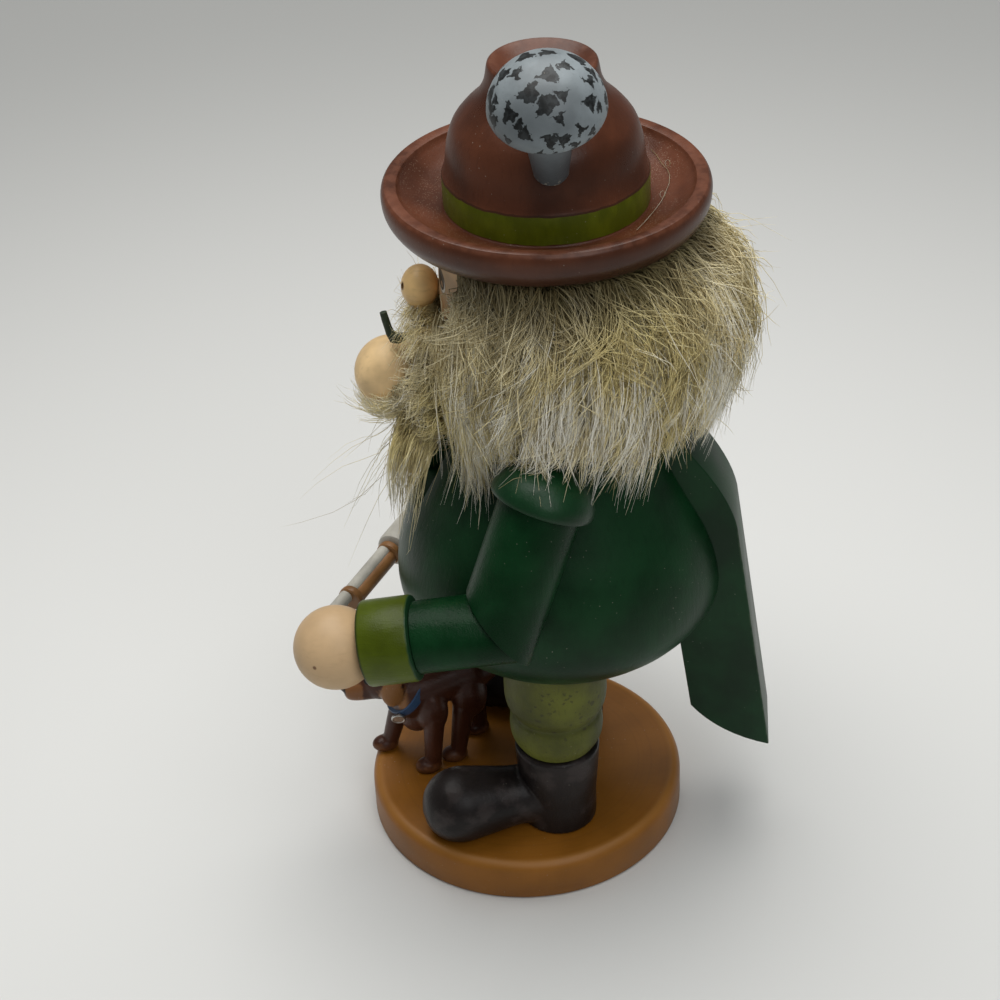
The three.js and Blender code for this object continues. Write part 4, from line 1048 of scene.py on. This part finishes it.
def wisp(outward, points, count, spread, curl, length_play, tones=(0.0, 0.75), joints=6, lock=False):
    """Hairs of one wisp: they start apart round a root and draw together along a guide line of points."""
    hairs = []
    side = outward.cross(Vector((0, 0, 1))).normalized()
    upright = Vector((0, 0, 1))
    wisp_tone = chance.uniform(*tones)
    phase = chance.uniform(0, math.tau)
    ending = points(1.0) - points(0.85)
    home = math.copysign(1, points(1.0).x)
    gather = chance.uniform(0.6, 0.96)
    for _ in range(count):
        across, height = chance.gauss(0, spread), chance.gauss(0, spread)
        loose = 1.0 if chance.random() < 0.24 else 0.0
        stray = Vector((chance.gauss(0, 1), chance.gauss(0, 1), chance.gauss(0, 0.7))) * (0.45 + loose * 2.4)
        bow = chance.gauss(0, 0.9) * (1 + loose)
        reach = 1 + chance.gauss(0, length_play)
        twist = chance.uniform(0.5, 1.6) * curl
        own_phase = phase + chance.gauss(0, 0.4 + curl)
        line = []
        for k in range(joints):
            t = k / (joints - 1)
            spot = points(min(1.0, t * reach)) + ending * max(0.0, reach - 1) * 6 * t ** 3
            apart = 1 - gather * t ** 1.4 * (1 - loose * 0.7)
            spot = spot + (side * across + upright * height) * apart + stray * t ** 1.5
            spot = spot + side * bow * math.sin(math.pi * t)
            turn_by = own_phase + t * (joints - 1)
            spot = spot + (side * math.cos(turn_by) + upright * math.sin(turn_by)) * twist * min(1.0, 2 * t)
            line.append((*clear(*spot, home, lock), 1 - 0.84 * t ** 2.4))
        tone = 0.5 * wisp_tone + 0.5 * chance.uniform(*tones)
        if not under_cap(*line[-1][:3]):
            hairs.append((line, tone))
    return hairs


def furred(name, hairs, thickness):
    """One piece of fur from its hairs, each with its own tone and a measure along it."""
    mesh = stems(name, [line for line, _ in hairs], thickness)
    joints = len(hairs[0][0])
    ring = len(mesh.vertices) // (joints * len(hairs))
    mesh.attributes.new("along", "FLOAT", "POINT").data.foreach_set(
        "value", [k / (joints - 1) for _ in hairs for k in range(joints) for _ in range(ring)])
    mesh.attributes.new("tone", "FLOAT", "POINT").data.foreach_set(
        "value", [tone for _, tone in hairs for _ in range(joints * ring)])
    mesh.materials.clear()
    mesh.materials.append(fur_hair)
    made = linked(name, mesh)
    return made


def falling(azimuth, start_z, drop, depth, sweep, lift):
    """Guide line of a wisp of head hair, from the pelt out to the fur's outline and down."""
    sway = chance.gauss(0, 0.03)

    def at(t):
        a = azimuth + sweep * t ** 1.3 + sway * math.sin(math.pi * t)
        z = start_z + lift * math.sin(math.pi * min(1.0, 1.9 * t)) - drop * t ** 1.35
        out = depth * (1 - (1 - t) ** 2.5)
        wide, deep = between(z, fur_width), between(z, fur_girth)
        hide = Vector((hide_radius * math.sin(a), setback - hide_radius * math.cos(a), z))
        skirt = Vector((fur_half_width * wide * math.sin(a), fur_axis - fur_half_depth * deep * math.cos(a), z))
        return hide.lerp(skirt, out)
    return at


locks = {key: [] for key in ("left_front", "left_side", "left_back", "back_lock", "right_back", "right_side",
                             "right_front")}


def lay(around, guide, count, spread, curl, length_play, tones):
    """Adds a wisp to the piece of fur that it hangs in."""
    end = guide(1.0)
    lock = abs(end.x) < 13 and end.y > 25
    outward = Vector((math.sin(around), -math.cos(around), 0))
    from_front = math.degrees(abs(around))
    sector = "front" if from_front < 66 else "side" if from_front < 105 else "back"
    key = "back_lock" if lock else ("left_" if around > 0 else "right_") + sector
    locks[key] += wisp(outward, guide, count, spread, curl, length_play, tones, lock=lock)


hairline = [(158, 29), (170, 33), (176, 38), (180, 49), (202, 53)]
hem = [(27, 138), (45, 140), (62, 144), (74, 149), (88, 155), (107, 155), (114, 147), (122, 146), (129, 153),
       (138, 156), (155, 153), (180, 144)]
for layer, wisps in (("long", 400), ("short", 500), ("guard", 300)):
    for _ in range(wisps):
        start_z = 201.5 - (26 if layer == "guard" else 43) * chance.random() ** 1.1
        from_front = chance.uniform(between(start_z, hairline), 180)
        around = math.radians(from_front) * chance.choice((1, -1))
        end_z = between(from_front, hem) + abs(chance.gauss(0, 9 if layer == "guard" else 13)) - 1.5
        if layer == "short":
            end_z += chance.uniform(5, 32)
        drop = max(8.0, start_z - end_z)
        forward = between(from_front, [(27, -6), (60, -9), (95, -13), (140, -5), (180, 0)]) + chance.gauss(0, 9)
        sweep = math.radians(forward) * math.copysign(1, around)
        lift = 1.2 + max(0.0, start_z - 188) * between(from_front, [(90, 0.08), (130, 0.40), (180, 0.45)])
        fullness = between(from_front, [(66, 0), (82, 0.06), (100, 0.06), (116, 0), (180, 0.03)])
        depth = chance.uniform(0.68, 1.0) + fullness
        curl = between(from_front, [(27, 1.2), (50, 0.7), (70, 0.35), (180, 0.35)])
        guide = falling(around, start_z, drop, depth + (0.05 if layer == "guard" else 0), sweep, lift)
        if layer == "guard":
            lay(around, guide, 9, 1.4, 0.2, 0.08, (0.65, 1.0))
        elif layer == "long":
            lay(around, guide, 14, 1.7, curl, 0.08, (0.1, 0.95))
        else:
            lay(around, guide, 13, 1.8, curl + 0.3, 0.14, (0.0, 0.58))
for _ in range(620):
    from_front = chance.uniform(52, 180)
    around = math.radians(from_front) * chance.choice((1, -1))
    fuzz = falling(around, chance.uniform(177, 201.5), chance.uniform(4, 12), chance.uniform(0.55, 0.98),
                   chance.gauss(0, 0.18), chance.uniform(0.5, 3.0))
    lay(around, fuzz, 6, 1.8, 1.9, 0.2, (0.0, 0.7))
for _ in range(260):
    start_z = chance.uniform(160, 194)
    from_front = between(start_z, hairline) + chance.uniform(-4, 8)
    around = math.radians(from_front) * chance.choice((1, -1))
    ahead_by = -math.copysign(chance.uniform(0.0, 0.22), around)
    cheek_fuzz = falling(around, start_z, chance.uniform(2, 9), chance.uniform(0.12, 0.45), ahead_by, 1.0)
    lay(around, cheek_fuzz, 7, 1.5, 1.7, 0.2, (0.1, 0.8))
for _ in range(130):
    around = math.radians(chance.uniform(28, 46)) * chance.choice((1, -1))
    start_z = chance.uniform(160, 182)
    front_lock = falling(around, start_z, start_z - 139 + chance.gauss(0, 3), chance.uniform(0.72, 0.98),
                         -math.copysign(chance.uniform(0.0, 0.14), around), 1.0)
    lay(around, front_lock, 12, 1.6, 0.3, 0.08, (0.2, 1.0))
for lock_name, hairs in locks.items():
    fur = furred(f"hair_{lock_name}", hairs, 0.13)
    if lock_name == "back_lock":
        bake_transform(fur)
    else:
        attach(fur, "figure")


# Moustache. Short fur glued under the nose and brushed to both sides over the upper lip, finer than the hair
# and more tightly curled.

def bowed(root, pull, tip):
    """Guide line bent from a root towards a tip."""
    def at(t):
        return root * (1 - t) ** 2 + pull * 2 * t * (1 - t) + tip * t * t
    return at


to_front = Vector((0, -1, 0))
moustache_hairs = []
for _ in range(130):
    x = chance.uniform(-13, 13)
    side = math.copysign(1, x)
    top = 177.5 if abs(x) < 7 else 173.5
    face = setback - math.sqrt((head_radius + glue_gap) ** 2 - x * x)
    root = Vector((x, face, chance.uniform(palate + glue_gap, top)))
    tip = root + Vector((side * chance.uniform(0, 7), -chance.uniform(4, 12), chance.gauss(-1.5, 2.4)))
    guide = bowed(root, root + Vector((side * 1.5, -6, 1)), tip)
    moustache_hairs += wisp(to_front, guide, 11, 1.0, 1.7, 0.15, (0.1, 0.8), 9)
moustache_fur = furred("moustache_fur", moustache_hairs, 0.11)
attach(moustache_fur, "figure")
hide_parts("moustache")


# Beard. Fur glued under the jaw and over the back and underside of the chin ball, in short curls with a few
# long wisps. The curls ride the chin, and the wisps hang from under the jaw onto the belly.

def round_chin(side, lateral, start, end, lift):
    """Guide line round the chin ball, from behind it to below and in front."""
    def at(t):
        turned = math.radians(start + (end - start) * t)
        girth = (10.5 + lift * math.sin(math.pi * t) + 0.5 * t) * math.sqrt(1 - lateral * lateral)
        aside = side * lateral * (10.5 + lift * math.sin(math.pi * t))
        return Vector(chin_centre) + Vector((aside, girth * math.cos(turned), girth * math.sin(turned)))
    return at


chin_hairs = []
for _ in range(320):
    side, lateral = chance.choice((1, -1)), chance.uniform(0.1, 0.98)
    start = chance.uniform(-80, 32)
    end = start - chance.uniform(40, 100)
    guide = round_chin(side, lateral, start, max(end, -155), chance.uniform(0.3, 1.4))
    chin_hairs += wisp(Vector((side, 0, 0)), guide, 8, 0.8, 0.6, 0.1, (0.2, 0.85), 8)
for _ in range(70):
    side, lateral = chance.choice((1, -1)), chance.uniform(0.5, 0.93)
    start = chance.uniform(-65, -10)
    guide = round_chin(side, lateral, start, start - chance.uniform(60, 95), chance.uniform(0.3, 0.9))
    chin_hairs += wisp(Vector((side, 0, 0)), guide, 8, 0.7, 0.4, 0.1, (0.3, 0.95), 8)
chin_fur = furred("chin_fur", chin_hairs, 0.10)
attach(chin_fur, "jaw")

beard_hairs = []
for _ in range(120):
    x, y = chance.uniform(-15, 15), chance.uniform(-29, -17)
    root = Vector((x, y, 147.0 - (y + 24) * 0.45))
    drop = chance.uniform(7, 15) if chance.random() < 0.72 else chance.uniform(16, 31)
    pull = root + Vector((x * 0.1, -4, -drop * 0.4))
    tip = root + Vector((x * 0.2 + chance.gauss(0, 1.5), -4.5 - (y + 24) * 0.55, -drop))
    count = 9 if drop < 16 else 5
    beard_hairs += wisp(to_front, bowed(root, pull, tip), count, 1.3, 1.1, 0.1, (0.05, 0.75), 9)
for _ in range(130):
    side = chance.choice((1, -1))
    root = Vector((side * chance.uniform(12, 19), chance.uniform(-20, -10), chance.uniform(148, 169)))
    pull = root + Vector((side * 2, -5, -2))
    tip = root + Vector((-side * chance.uniform(0, 3), -chance.uniform(5, 10), -chance.uniform(4, 11)))
    beard_hairs += wisp(Vector((side * 0.8, -0.6, 0)), bowed(root, pull, tip), 10, 1.2, 1.2, 0.12, (0.1, 0.8), 9)
for _ in range(56):
    x, y = chance.choice((1, -1)) * chance.uniform(6, 17), chance.uniform(-30, -20)
    root = Vector((x, y, 146))
    drop = chance.uniform(14, 33)
    pull = root + Vector((x * 0.12, -5, -drop * 0.35))
    tip = root + Vector((x * 0.1 + chance.gauss(0, 1.5), -7.5 - (y + 24) * 0.6, -drop))
    beard_hairs += wisp(to_front, bowed(root, pull, tip), 7, 1.3, 1.0, 0.1, (0.1, 0.85), 9)
beard_fur = furred("beard_fur", beard_hairs, 0.11)
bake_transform(beard_fur)
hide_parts("beard")


# Stray hairs. A few long thin hairs stand out of the fur behind the brim and curl away from the beard, and
# a curl of lint has settled in the bowl of the brim.

strays = []
for _ in range(16):
    around = math.pi + chance.uniform(-0.9, 0.5)
    root = Vector((44 * math.sin(around), setback - 44 * math.cos(around), chance.uniform(190, 201)))
    outward = Vector((math.sin(around), -math.cos(around), 0))
    tip = root + outward * chance.uniform(12, 24) + Vector((0, 0, chance.uniform(-8, 5)))
    pull = root + outward * 8 + Vector((0, 0, chance.uniform(2, 6)))
    strays += wisp(outward, bowed(root, pull, tip), 1, 0.3, 1.0, 0.1)
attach(furred("stray_hairs", strays, 0.07), "figure")
strays = []
for _ in range(15):
    side = chance.uniform(-1, 1)
    root = Vector((side * 12, chance.uniform(-35, -31), chance.uniform(126, 142)))
    tip = root + Vector((side * 5, -chance.uniform(5, 26), -chance.uniform(10, 30)))
    pull = root + Vector((side * 3, -chance.uniform(4, 10), -5))
    strays += wisp(to_front, bowed(root, pull, tip), 1, 0.3, 1.6, 0.1)
beard_strays = furred("beard_strays", strays, 0.07)
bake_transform(beard_strays)

lint_line = [(-22.8, 38.4, 211.8), (-19.9, 40.0, 211.5), (-15.8, 41.4, 211.1), (-12.9, 42.8, 211.1),
             (-9.3, 43.7, 211.0), (-5.1, 43.6, 210.7), (-1.1, 42.8, 210.3), (3.6, 41.8, 210.1), (8.3, 40.2, 209.9),
             (14.9, 37.8, 210.0), (20.2, 35.9, 210.4)]
lint_loops = [[(x + 1.9 * math.cos(a * 0.63), y + 0.7 * math.sin(a * 0.63), z, 0.7) for a in range(11)]
              for x, y, z in ((-14.8, 43.0, 211.7), (0.2, 42.0, 210.2))]
lint = [([(*spot, 0.9) for spot in lint_line], 0.95), *[(loop, 0.8) for loop in lint_loops]]
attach(furred("brim_lint", lint, 0.075), "figure")
